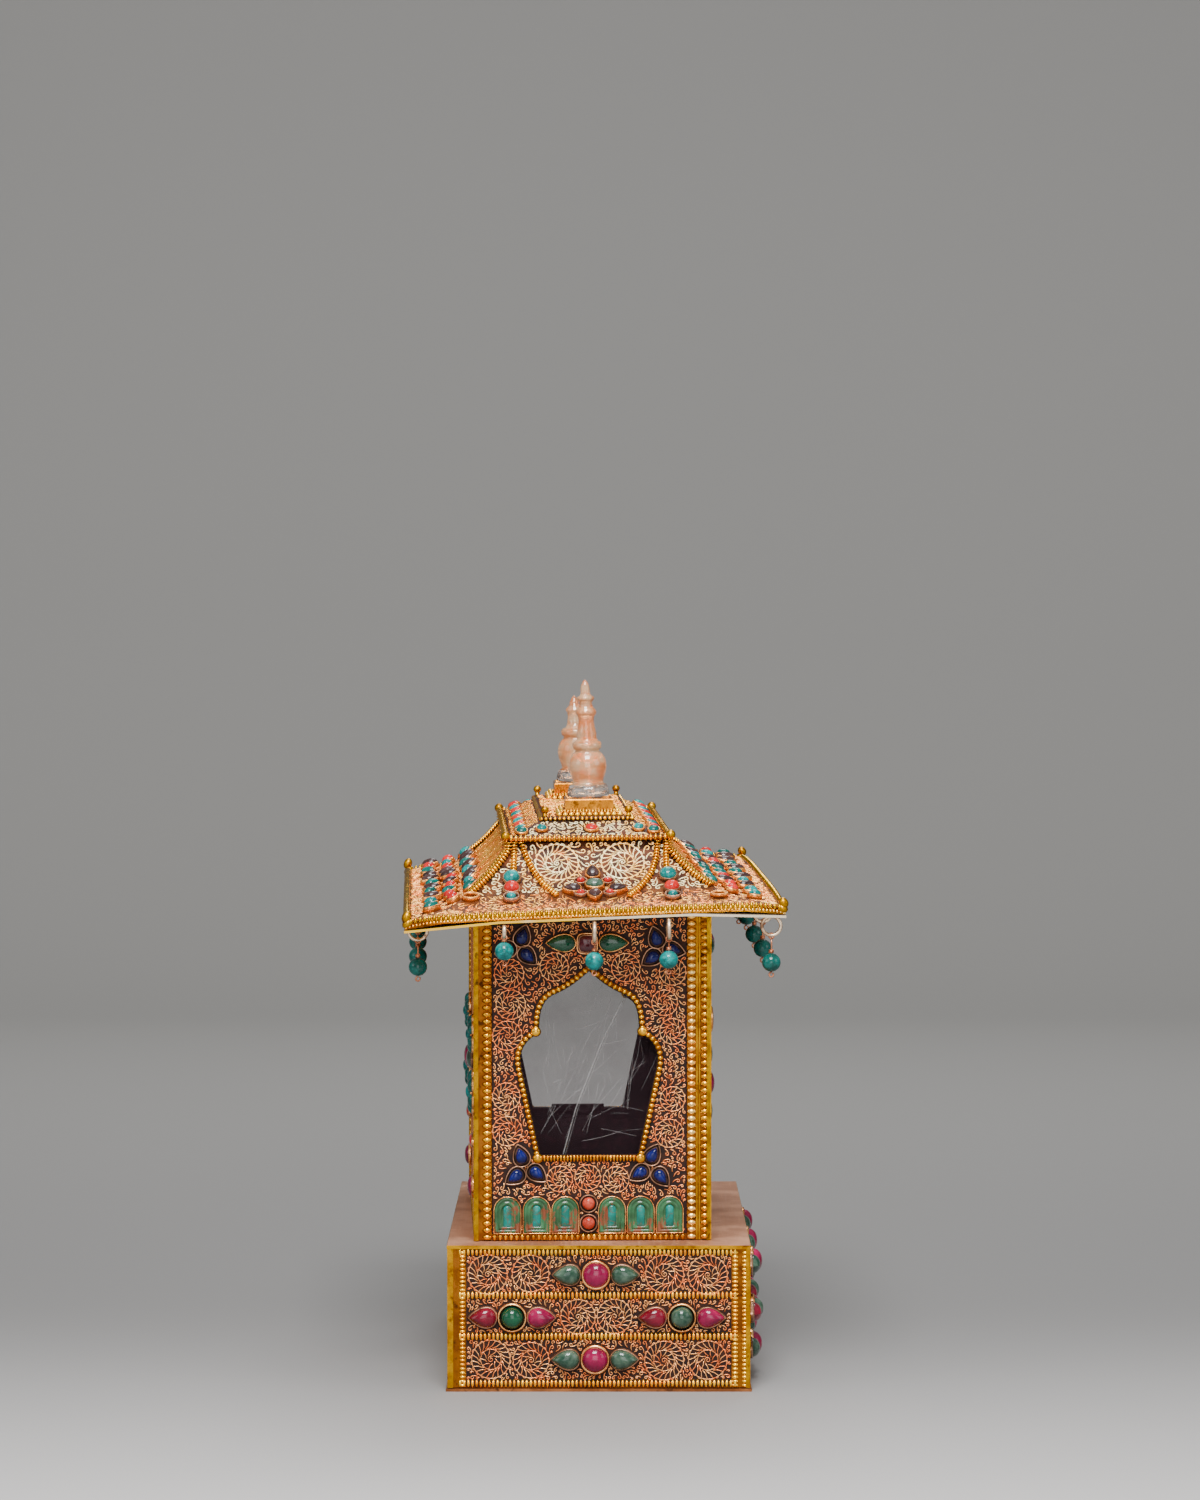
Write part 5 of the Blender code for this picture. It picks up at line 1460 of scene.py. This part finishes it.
def end_slope_stones(jewels, side, lay):
    """The flower, the columns of three stones and the empty settings of a roof end."""
    flip = 1 if side == "near" else -1
    kept = []
    for x, part, radius, kind in END_COLUMNS:
        spot = (x * flip, down_slope(side, part))
        if part > 0.5:
            jewels.sunk(lay, kind, circle(3.5, spot, 20), circle(2.1, spot, 16), -0.2, 2.4, 1.1)
        else:
            roof_stone(jewels, lay, kind, circle(radius + 0.25, spot, 20), 2.2, 2.5, "cup_wire")
        kept.append((*spot, radius + 1.0))
    middle = (1.6 * flip, down_slope(side, 0.36))
    roof_stone(jewels, lay, "jade", circle(3.3, count=20) * (1.15, 0.9) + middle, 2.6, 1.9)
    for dx, part, way in ((-0.4, 0.21, 90), (-9.6, 0.41, 180), (9.6, 0.43, 0), (-0.4, 0.53, 270)):
        spot = (middle[0] + dx, down_slope(side, part))
        roof_stone(jewels, lay, "garnet", pear(7.4, 5.6, math.radians(way), spot, 20), 2.4, 1.7)
        kept.append((*spot, 4.2))
    for dx, part in ((-5.7, 0.30), (5.8, 0.31), (-6.2, 0.48), (6.2, 0.49)):
        spot = (middle[0] + dx, down_slope(side, part))
        stone = circle(1.0, count=14) * (1.7, 1.15) + spot
        jewels.sunk(lay, "coral", leaf(6.0, 4.4, 0, spot, 16), stone, -0.2, 2.2, 1.0)
        kept.append((*spot, 2.4))
    kept.append((*middle, 4.2))
    for x, part in ((53.5, 0.60), (-51.0, 0.47)):
        spot = (x * flip, down_slope(side, part))
        rim = [(0.3, -0.2), (0.3, 2.2), (0.0, 2.3), (-0.3, 2.2), (-0.3, 0.3)]
        band(jewels.pile("box"), lay, leaf(7.0, 4.6, 0, spot, 16), rim)
        kept.append((*spot, 3.8))
    return kept


def side_slope_stones(jewels, side, lay):
    """Three columns of stones from the near end to the far one, long ones pointing up the slope."""
    random = np.random.default_rng(len(side))
    ahead = 1 if side == "front" else -1
    kept = []
    for part, names in SLOPE_COLUMNS[side]:
        kinds = names.split()
        reach = 68 + 44 * part
        for along, kind in zip(np.linspace(-reach, reach, len(kinds)), kinds):
            x, y = ahead * (along + random.normal(0, 0.8)), down_slope(side, part) + random.normal(0, 0.5)
            size = random.uniform(0.92, 1.12)
            if kind in ("coral", "turquoise"):
                shape = circle(2.9 * size, count=18) * (0.9, 1.0) + (x, y)
            elif kind == "malachite":
                shape = pear(6.8 * size, 5.6 * size, math.pi / 2 + random.normal(0, 0.3), (x, y), 18)
            else:
                shape = leaf(8.2 * size, 4.8 * size, math.pi / 2 + random.normal(0, 0.25), (x, y), 18)
            roof_stone(jewels, lay, kind, shape, random.uniform(2.0, 2.5), 2.0)
            kept.append((x, y, 4.2))
    return kept


def string_of_beads(pile, lay, side, path):
    """Small beads strung along a lower slope, on a path of places across and parts of the run."""
    smooth, _ = spaced([(x, down_slope(side, part)) for x, part in path], 0.4)
    for _ in range(12):
        smooth[1:-1] = (smooth[:-2] + smooth[2:]) / 2 * 0.5 + smooth[1:-1] * 0.5
    spots, angles = spaced(smooth, 1.65)
    beads(pile, lay, raised(spots, 1.0), (0.68, 1.5, 1.5), (8, 6) if side == "near" else COARSE, angles)


def dress_roof_slopes():
    """Each side of both tiers: its stones, its strings of beads, and pale or golden wires over orange ones."""
    jewels, strings = Jewels("roof", "box"), Pile()
    for number, side in enumerate(SIDES):
        lay = lower_slope(side)
        if side in ENDS:
            flip = 1 if side == "near" else -1
            kept = end_slope_stones(jewels, side, lay)
            for swag in NEAR_SWAGS:
                path = [(x * flip, part) for x, part in swag]
                string_of_beads(strings, lay, side, path)
                kept += [(x, down_slope(side, part), 1.2) for x, part in path]
            rounds = [(x * flip, down_slope(side, 0.10), 9.4) for x in (-13.6, 14.4)]
        else:
            kept = side_slope_stones(jewels, side, lay)
            rounds = [(x, down_slope(side, 0.16), 8.0) for x in range(-64, 65, 16)]
        for way in (-1, 1):
            hip = [(way * (width_of(side, slope_half(max(part, 0))) - 0.5), part) for part in HIP_PARTS]
            string_of_beads(strings, lay, side, hip)
        coarse = (7, 2.9, 0.72, (0.88, 0.86))
        steps, pitch, width, whirl = (11, 2.7, 0.8, (0.75, 1.0)) if side == "near" else coarse
        panel, cut = trapezoid(side, lay), down_slope(side, 0.42)
        upper, lower = np.maximum(panel, (-np.inf, cut)), np.minimum(panel, (np.inf, cut))
        steep, shallow = Pile(), Pile()
        filigree(steep, lay, upper, [], rounds, kept, 70 + number, -0.12, steps, pitch, 4.2, width, whirl)
        reach = int(width_of(side, TIER_EDGE))
        kept += [(x, down_slope(side, 0.7), 0.5) for x in range(-reach, reach, 11)]
        filigree(shallow, lay, lower, [], [], kept, 80 + number, -0.15, steps, pitch * 1.4, 4.2 * 1.35, width)
        # The end slopes take the pale wires, lightened as painted highlight; the side slopes keep the golden
        # tone.
        metal = "pale_filigree" if side in ENDS else "golden_filigree"
        steep.build("roof_filigree_steep_" + side, metal, "filigree")
        shallow.build("roof_filigree_eave_" + side, "orange_filigree", "filigree")
        dress_upper_slope(jewels, side, number)
    jewels.build(())
    strings.build("roof_bead_strings", "beads", "gilt_beads")


def dress_upper_slope(jewels, side, number):
    """A side of the upper tier, with one row of stones."""
    lay = upper_slope(side)
    low = -lay.length
    if side in ENDS:
        spots = [(1.7, 0.56, "coral", 2.6), (-19.6, 0.56, "turquoise", 2.2), (21.9, 0.56, "turquoise", 2.2)]
        spots += [(-28.3, 0.7, "malachite", 2.4), (28.3, 0.7, "malachite", 2.4)]
    else:
        spots = [(19.0 * (k - 3.5), 0.62, "turquoise" if k % 2 else "coral", 2.7) for k in range(8)]
    kept = []
    for x, part, kind, radius in spots:
        roof_stone(jewels, lay, kind, circle(radius, (x, low * part), 18), 1.3, 1.3)
        kept.append((x, low * part, radius + 0.6))
    top, eave = width_of(side, RIDGE_HALF), width_of(side, UPPER_EDGE_HALF)
    panel = np.array([(-eave + 1, low + 0.4), (eave - 1, low + 0.4), (top, -0.3), (-top, -0.3)])
    work = Pile()
    filigree(work, lay, panel, [], [], kept, 90 + number, -0.2, 9 if side == "near" else 7, 2.6, 3.8, 0.7)
    # The near side takes the pale wires, lightened as painted highlight; the others keep the golden tone.
    work.build("upper_filigree_" + side, "pale_filigree" if side == "near" else "golden_filigree", "filigree")


def hoop_beads(pile, half, height, pitch, size, fineness, centre=(0, 0)):
    """A rectangular row of beads on the level roof, carried to where the roof leans."""
    corners = np.array(((-1, -1), (1, -1), (1, 1), (-1, 1), (-1, -1))) * half
    for start, end in zip(corners, corners[1:]):
        points, angles = spaced(np.linspace(start, end, 3), pitch)
        beads(pile, settled, raised(points[:-1] + centre, height), size, fineness, angles[:-1])


def edge_band(name, material, half, profile, shift=0.0):
    """The band that a row of beads lies on. The profile lists (distance inwards, height)."""
    pile = Pile()
    rings = [rectangle(grown(half, -inset), height, shift) for inset, height in profile[::-1]]
    pile.grid(rings, settled, wrap=True)
    pile.build(name, material, "gilt_sheet")


def dress_eave():
    """Two bead rows round the lower eave on their band, and a pair of balls at each corner."""
    upper, lower, balls = Pile(), Pile(), Pile()
    half = grown(EAVE_HALF, -0.85)
    hoop_beads(lower, half, EAVE_LOW_ROW, 1.45, (0.58, 0.9, 0.75), COARSE)
    hoop_beads(upper, half, EAVE_SURFACE, 1.95, (0.88, 1.35, 1.35), (7, 5))
    profile = ((0.9, EAVE_BAND_FOOT), (0.9, EAVE_SURFACE), (2.4, EAVE_SURFACE + 0.1), (2.4, EAVE_BAND_FOOT))
    edge_band("eave_band", "gilt", EAVE_HALF, profile)
    for a in (-1, 1):
        for b in (-1, 1):
            x, y = a * (EAVE_HALF[0] - 1), b * (EAVE_HALF[1] - 1)
            height = EAVE_SURFACE + (2.14 if b < 0 else 2.78)
            beads(balls, settled, [(x, y, height)], (2.1, 2.1, 2.2), FINE)
            beads(balls, settled, [(x - a * 0.4, y - b * 0.4, EAVE_SURFACE - 0.3)], (2.3, 2.3, 2.0), FINE)
    upper.build("eave_upper_beads", "eave_beads", "gilt_beads", "eave_bead_frame")
    lower.build("eave_lower_beads", "pale_beads", "gilt_beads")
    balls.build("eave_corner_balls", "gilt", "gilt_sheet")


def dress_upper_edges():
    """Bead rows round the upper tier's eave and the ridge platform, with a ball or a post at each corner."""
    upper, ridge, balls = Pile(), Pile(), Pile()
    centre = (UPPER_SHIFT, 0)
    hoop_beads(upper, UPPER_BAND_HALF, UPPER_BAND_TOP, 2.05, (0.93, 1.6, 1.6), (8, 5), centre)
    hoop_beads(ridge, grown(RIDGE_HALF, -0.1), RIDGE_UNDER + 0.4, 1.95, (0.85, 1.15, 1.15), (7, 5), centre)
    profile = ((0, UPPER_BAND_FOOT), (0, UPPER_BAND_TOP), (1.4, UPPER_EDGE), (1.4, UPPER_BAND_FOOT))
    edge_band("upper_band", "groove", UPPER_BAND_HALF, profile, UPPER_SHIFT)
    for a in (-1, 1):
        for b in (-1, 1):
            x, y = grown(UPPER_BAND_HALF, 0.3)
            beads(balls, settled, [(UPPER_SHIFT + a * x, b * y, UPPER_EDGE + 0.8)], (2.1, 2.1, 2.1), FINE)
            x, y = UPPER_SHIFT + a * (RIDGE_HALF[0] - 1.6), b * (RIDGE_HALF[1] - 1.6)
            post = ((1.3, -0.2), (1.0, 0.4), (1.0, 2.2))
            balls.grid([raised(circle(radius, (x, y), 12), RIDGE_TOP + up) for radius, up in post], settled)
            beads(balls, settled, [(x, y, RIDGE_TOP + 2.9)], (1.8, 1.8, 1.7), FINE)
    ridge.build("ridge_bead_row", "beads", "gilt_beads")
    upper.build("upper_bead_rows", "beads", "gilt_beads", "upper_bead_frame")
    balls.build("upper_balls_and_posts", "gilt", "gilt_sheet")


def ridge_lay(points):
    """Lays work on the ridge platform, its middle at the platform's."""
    points = np.array(points, float)
    points[:, 0] += UPPER_SHIFT
    points[:, 2] += RIDGE_TOP
    return settled(points)


def dress_ridge():
    """The ridge platform, with wires round the places of the two finials."""
    plate, work = Pile(), Pile()
    plate.grid([rectangle(RIDGE_HALF, height, UPPER_SHIFT) for height in (RIDGE_UNDER, RIDGE_TOP)], settled)
    # The platform's sheet is darkened as painted shade between the wires.
    plate.build("ridge_sheet", "warm_ground", "copper_sheet", "roof_ridge")
    x, y = grown(RIDGE_HALF, -1)
    panel = box_outline(-x, -y, x, y)
    holes = [box_outline(-14, -14, 14, 14) + (x - UPPER_SHIFT, y) for x, y in SOCKETS.values()]
    rounds = [(0.5, y, 8.4) for y in (-18, 1, 20)]
    rounds += [(x, y, 4.6) for x in (-12.5, 13) for y in (-27, -9, 9, 29)]
    filigree(work, ridge_lay, panel, holes, rounds, [], 99, 0.0, 7, 2.8, 3.8, 0.7)
    work.build("ridge_filigree", "golden_filigree", "filigree")


def dress_sockets():
    """Each finial's box, on two steps edged with beads."""
    for end, (x, y) in SOCKETS.items():
        box, rows, steps = Pile(crisp=True), Pile(), Pile(crisp=True)
        low = RIDGE_TOP + GAP

        def square(half, height):
            return rectangle((half, half), low + height, 0, 4, 4) + (x, y, 0)

        # Half width and rise of a step, and its beads' pitch, size and height
        lower, upper = (12.8, 0.3, 2.5, (1.175, 1.2, 1.2), 0.4), (11.7, 1.6, 1.3, (0.494, 1, 1), 1.7)
        for half, rise, pitch, size, height in (lower, upper):
            steps.grid([square(half, -0.4), square(half, rise)], settled)
            hoop_beads(rows, grown((half, half), 0.25), low + height, pitch, size, (10, 6), (x, y))
        profile = ((10.4, 1.9), (10.4, 6.3), (10.1, 6.75), (9.4, SOCKET_HEIGHT), (9.2, 6.2))
        box.grid([square(*row) for row in profile], settled)
        box.build("socket_" + end, "amber_gilt", "gilt_sheet", "finial_socket_" + end)
        steps.build("socket_steps_" + end, "groove", "gilt_sheet")
        rows.build("socket_beads_" + end, "yellow_beads", "gilt_beads")


# The turned spires, as (radius, height). Below the waist they are clear and cut with facets.
SPIRE_WAIST = 5.0
SPIRE_FOOT = (
    (8.7, 0.0), (8.75, 1.4), (8.3, 3.2), (7.7, SPIRE_WAIST), (6.7, 5.6), (6.5, 6.1), (7.0, 8.0), (7.9, 10.4),
    (8.2, 12.6), (8.0, 15.0), (7.3, 17.0), (6.1, 18.6), (5.2, 19.4), (5.5, 20.2), (6.2, 20.7), (6.3, 21.6),
    (6.3, 22.8), (5.9, 23.4),
)
SPIRE_TOPS = {
    "near": (
        (4.6, 24.1), (4.2, 25.5), (4.3, 27.1), (3.7, 29.6), (3.3, 32.2), (3.5, 34.3), (4.4, 35.6), (4.6, 36.4),
        (4.2, 37.2), (3.2, 38.4), (2.6, 40.4), (3.4, 41.4), (3.9, 42.2), (3.6, 42.9), (2.4, 43.6), (1.9, 44.6),
        (2.0, 46.4), (1.7, 47.8), (0.9, 49.6), (0.15, 50.3),
    ),
    "far": (
        (4.0, 24.3), (3.4, 26.5), (3.1, 29.0), (3.4, 31.0), (4.0, 31.8), (3.7, 32.6), (2.2, 34.2), (1.9, 35.6),
        (1.1, 37.4), (0.15, 38.5),
    ),
}


def dress_spires():
    """Both crystal spires, upright but for a slight lean, each in two finishes."""
    facets = 1 + 0.04 * np.abs(np.cos(round_turn(SPIRE_SIDES) * 5))[:, None]
    for end, (x, y) in SOCKETS.items():
        top = RIDGE_TOP + GAP + SOCKET_HEIGHT
        foot = top + float(lean(x, y, top)) + SPIRE_SEAT
        place = BODY_ROOT @ Matrix.Translation((x * MM, y * MM, foot * MM))
        place = place @ Matrix.Rotation(math.atan(LEAN_ALONG), 4, "X")
        lay = laid(place @ Matrix.Rotation(-math.radians(SPIRE_LEAN), 4, "Y"))
        above, below = Pile(), Pile()
        for pile, low, high, cut in ((above, SPIRE_WAIST, 99, 1), (below, 0, SPIRE_WAIST, facets)):
            rows = [row for row in SPIRE_FOOT + SPIRE_TOPS[end] if low <= row[1] <= high]
            pile.grid([raised(circle(radius, count=SPIRE_SIDES) * cut, height) for radius, height in rows], lay)
        above.build("spire_" + end, "crystal", "crystal", "finial_" + end)
        below.build("spire_foot_" + end, "clear_crystal", "crystal")


# Hanging drops

DROPS = {
    "near": ((-38.0, 11.2), (-0.4, 16.8), (30.7, 17.5)),
    "far": ((-36.0, 17.0), (0.0, 15.0), (34.0, 17.5)),
    "front": ((-116.0, 20.0), (-68.0, 20.0), (-20.0, 19.0), (28.0, 16.0), (76.0, 18.0)),
    "back": ((-84.0, 20.0), (-49.0, 19.5), (-4.0, 18.0), (44.0, 19.0), (92.0, 20.0)),
}


def upright_hoop(size, depth, height, turn):
    """Points of an upright loop through the angles turn, in millimetres."""
    return joined(size * np.cos(turn), depth * np.sin(turn), height + size * np.sin(turn))


def drop(side, number, along, length):
    """A ring through the eave, a turquoise bead on a pin, and the pin's coiled tail."""
    out = 1 if side in ("far", "front") else -1
    x, y = (along, DROP_PLACE[1] * out) if side in ENDS else (DROP_PLACE[0] * out, along)
    top = SOFFIT_UNDER + float(lean(x, y, SOFFIT_UNDER)) - 0.6
    lay = laid(BODY_ROOT @ Matrix.Translation((x * MM, y * MM, top * MM)))
    radius = min(RING_RADIUS, (length - DROP_RADIUS - 1.4) / 2)
    across, up = (polar(radius - 0.6, round_turn(24)) - (0, radius)).T
    silver, wire, stone = Pile(), Pile(), Pile()
    ring = joined(0, across, up) if side in ENDS else joined(across, 0, up)
    tube(silver, lay(ring), (0.9 if side == "near" else 0.75) * MM, 8, closed=True)
    name = f"drop_{side}_{number}"
    silver.build(name + "_ring", "silver", "silvered_copper")
    bead_top, bead_low = -length + DROP_RADIUS, -length - DROP_RADIUS
    loop = upright_hoop(1.1, 0.3, -2 * radius + 0.4, np.linspace(-math.pi / 2, math.pi * 1.6, 14))
    turn = np.linspace(0, 5 * math.pi, 26)
    coil = joined(0.75 * np.cos(turn), 0.75 * np.sin(turn), np.linspace(bead_top + 1.3, bead_top + 0.1, 26))
    stem = [(0, 0, -2 * radius - 0.7), (0.1, 0, (bead_top - 2 * radius) / 2)]
    stem += [(0, 0, bead_top), (0, 0, bead_low - 0.2)]
    tail = upright_hoop(0.9, 0.2, bead_low - 1.1, np.linspace(math.pi / 2, math.pi * 2.3, 14))
    for path in (loop, coil, stem, tail):
        tube(wire, lay(path), 0.36 * MM, 6)
    wire.build(name + "_wire", "wire", "copper_sheet")
    wobble = 0.97 + 0.03 * math.sin(along)
    beads(stone, lay, [(0, 0, -length)], (3.95, 3.95 * wobble, 3.9), (24, 16))
    stone.build(name + "_bead", "turquoise" if side == "near" else "malachite", "turquoise", name)


# Pieces that keep their solid, and the stage


def dress_solids():
    kinds = {
        "base_floor": "floor_sheet", "base_case": "sheet", "body_case": "lining", "body_lining": "lining",
        "roof_soffit": "soffit", "pane_near": "pane", "pane_far": "pane", "pane_front": "pane",
    }
    for name, kind in kinds.items():
        node = NODES[name]
        node.data.materials.clear()
        node.data.materials.append(MATERIALS[kind])


# The stage, in metres and watts. A light has a place, a target, a size and a power.
FLOOR_REACH, WALL_FOOT, WALL_BEND, WALL_TOP = 16.0, 1.6, 0.9, 3.2
LIGHTS = {
    "key": ((-0.05, -1.15, 1.6), (0, 0, 0.15), 0.75, 66),
    "fill": ((0, -2.4, 0.55), (0, 0, 0.15), 1.2, 14),
    "above": ((0.0, -0.5, 1.55), (0, 0, 0.25), 0.9, 10),
    "behind": ((0.1, 0.7, 1.3), (0, 0, 0.2), 0.5, 9),
    "left": ((-1.6, -0.9, 0.9), (0, 0, 0.15), 1.0, 7),
    "right": ((1.6, -0.9, 0.9), (0, 0, 0.15), 1.0, 7),
}


def studio_paper():
    """Grey paper with painted light: brightest towards the camera, darkest just behind the object as painted
    shade, and lighter again up the wall.
    """
    material, paint, link = new_material("studio_paper", Roughness=0.7)
    forward = place_along(paint, 1)
    # Painted light on the floor: bright towards the camera, fading to painted shade just behind the object.
    near = forward.above(-0.6, 0.15).blend((0.42, 0.408, 0.406), (0.129, 0.127, 0.126))
    link(Base_Color=forward.above(0.15, 1.6).blend(near, (0.272, 0.269, 0.263)))
    return material


def set_stage():
    profile = [(-FLOOR_REACH, 0.0), (WALL_FOOT, 0.0)]
    for angle in np.linspace(0, math.pi / 2, 14)[1:]:
        profile.append((WALL_FOOT + WALL_BEND * math.sin(angle), WALL_BEND - WALL_BEND * math.cos(angle)))
    profile.append((WALL_FOOT + WALL_BEND, WALL_TOP))
    points = [(x, y, z) for y, z in profile for x in (-FLOOR_REACH, FLOOR_REACH)]
    faces = [(k, k + 1, k + 3, k + 2) for k in range(0, len(points) - 2, 2)]
    mesh = bpy.data.meshes.new("studio_sweep")
    mesh.from_pydata(points, [], faces)
    mesh.shade_smooth()
    mesh.materials.append(studio_paper())
    sweep = bpy.data.objects.new("studio_sweep", mesh)
    bpy.context.scene.collection.objects.link(sweep)
    world = bpy.data.worlds.new("studio")
    world.use_nodes = True
    world.node_tree.nodes["Background"].inputs["Color"].default_value = (1.0, 0.98, 0.95, 1)
    world.node_tree.nodes["Background"].inputs["Strength"].default_value = 0.5
    bpy.context.scene.world = world
    for name, (place, target, size, power) in LIGHTS.items():
        light = bpy.data.lights.new(name, "AREA")
        light.size = size
        light.energy = power
        holder = bpy.data.objects.new(name, light)
        holder.location = place
        holder.rotation_euler = (Vector(target) - Vector(place)).to_track_quat("-Z", "Y").to_euler()
        bpy.context.scene.collection.objects.link(holder)


# The photo's camera, in the photo's pixels: its lens, its frame, and how far the horizon is off the middle
FOCAL, FRAME_HEIGHT, HORIZON = 4500, 1500, 150
SENSOR = 36


def set_camera():
    lens = bpy.data.cameras.new("camera")
    lens.sensor_fit = "VERTICAL"
    lens.sensor_height = SENSOR
    lens.lens = FOCAL / FRAME_HEIGHT * SENSOR
    lens.clip_end = 20
    camera = bpy.data.objects.new("camera", lens)
    camera.location = (0.5 * MM, -1.9945, 0.334)
    camera.rotation_euler = (math.pi / 2 - math.atan(HORIZON / FOCAL), 0, 0)
    bpy.context.scene.collection.objects.link(camera)
    bpy.context.scene.camera = camera


set_camera()
set_stage()
MATERIALS = make_materials()
dress_solids()
dress_plinth()
dress_plinth_edges()
dress_body()
dress_windows()
dress_body_edges()
dress_panes()
dress_roof_sheets()
dress_roof_slopes()
dress_eave()
dress_upper_edges()
dress_ridge()
dress_sockets()
dress_spires()
for side, hung in DROPS.items():
    for number, (along, length) in enumerate(hung, 1):
        drop(side, number, along, length)
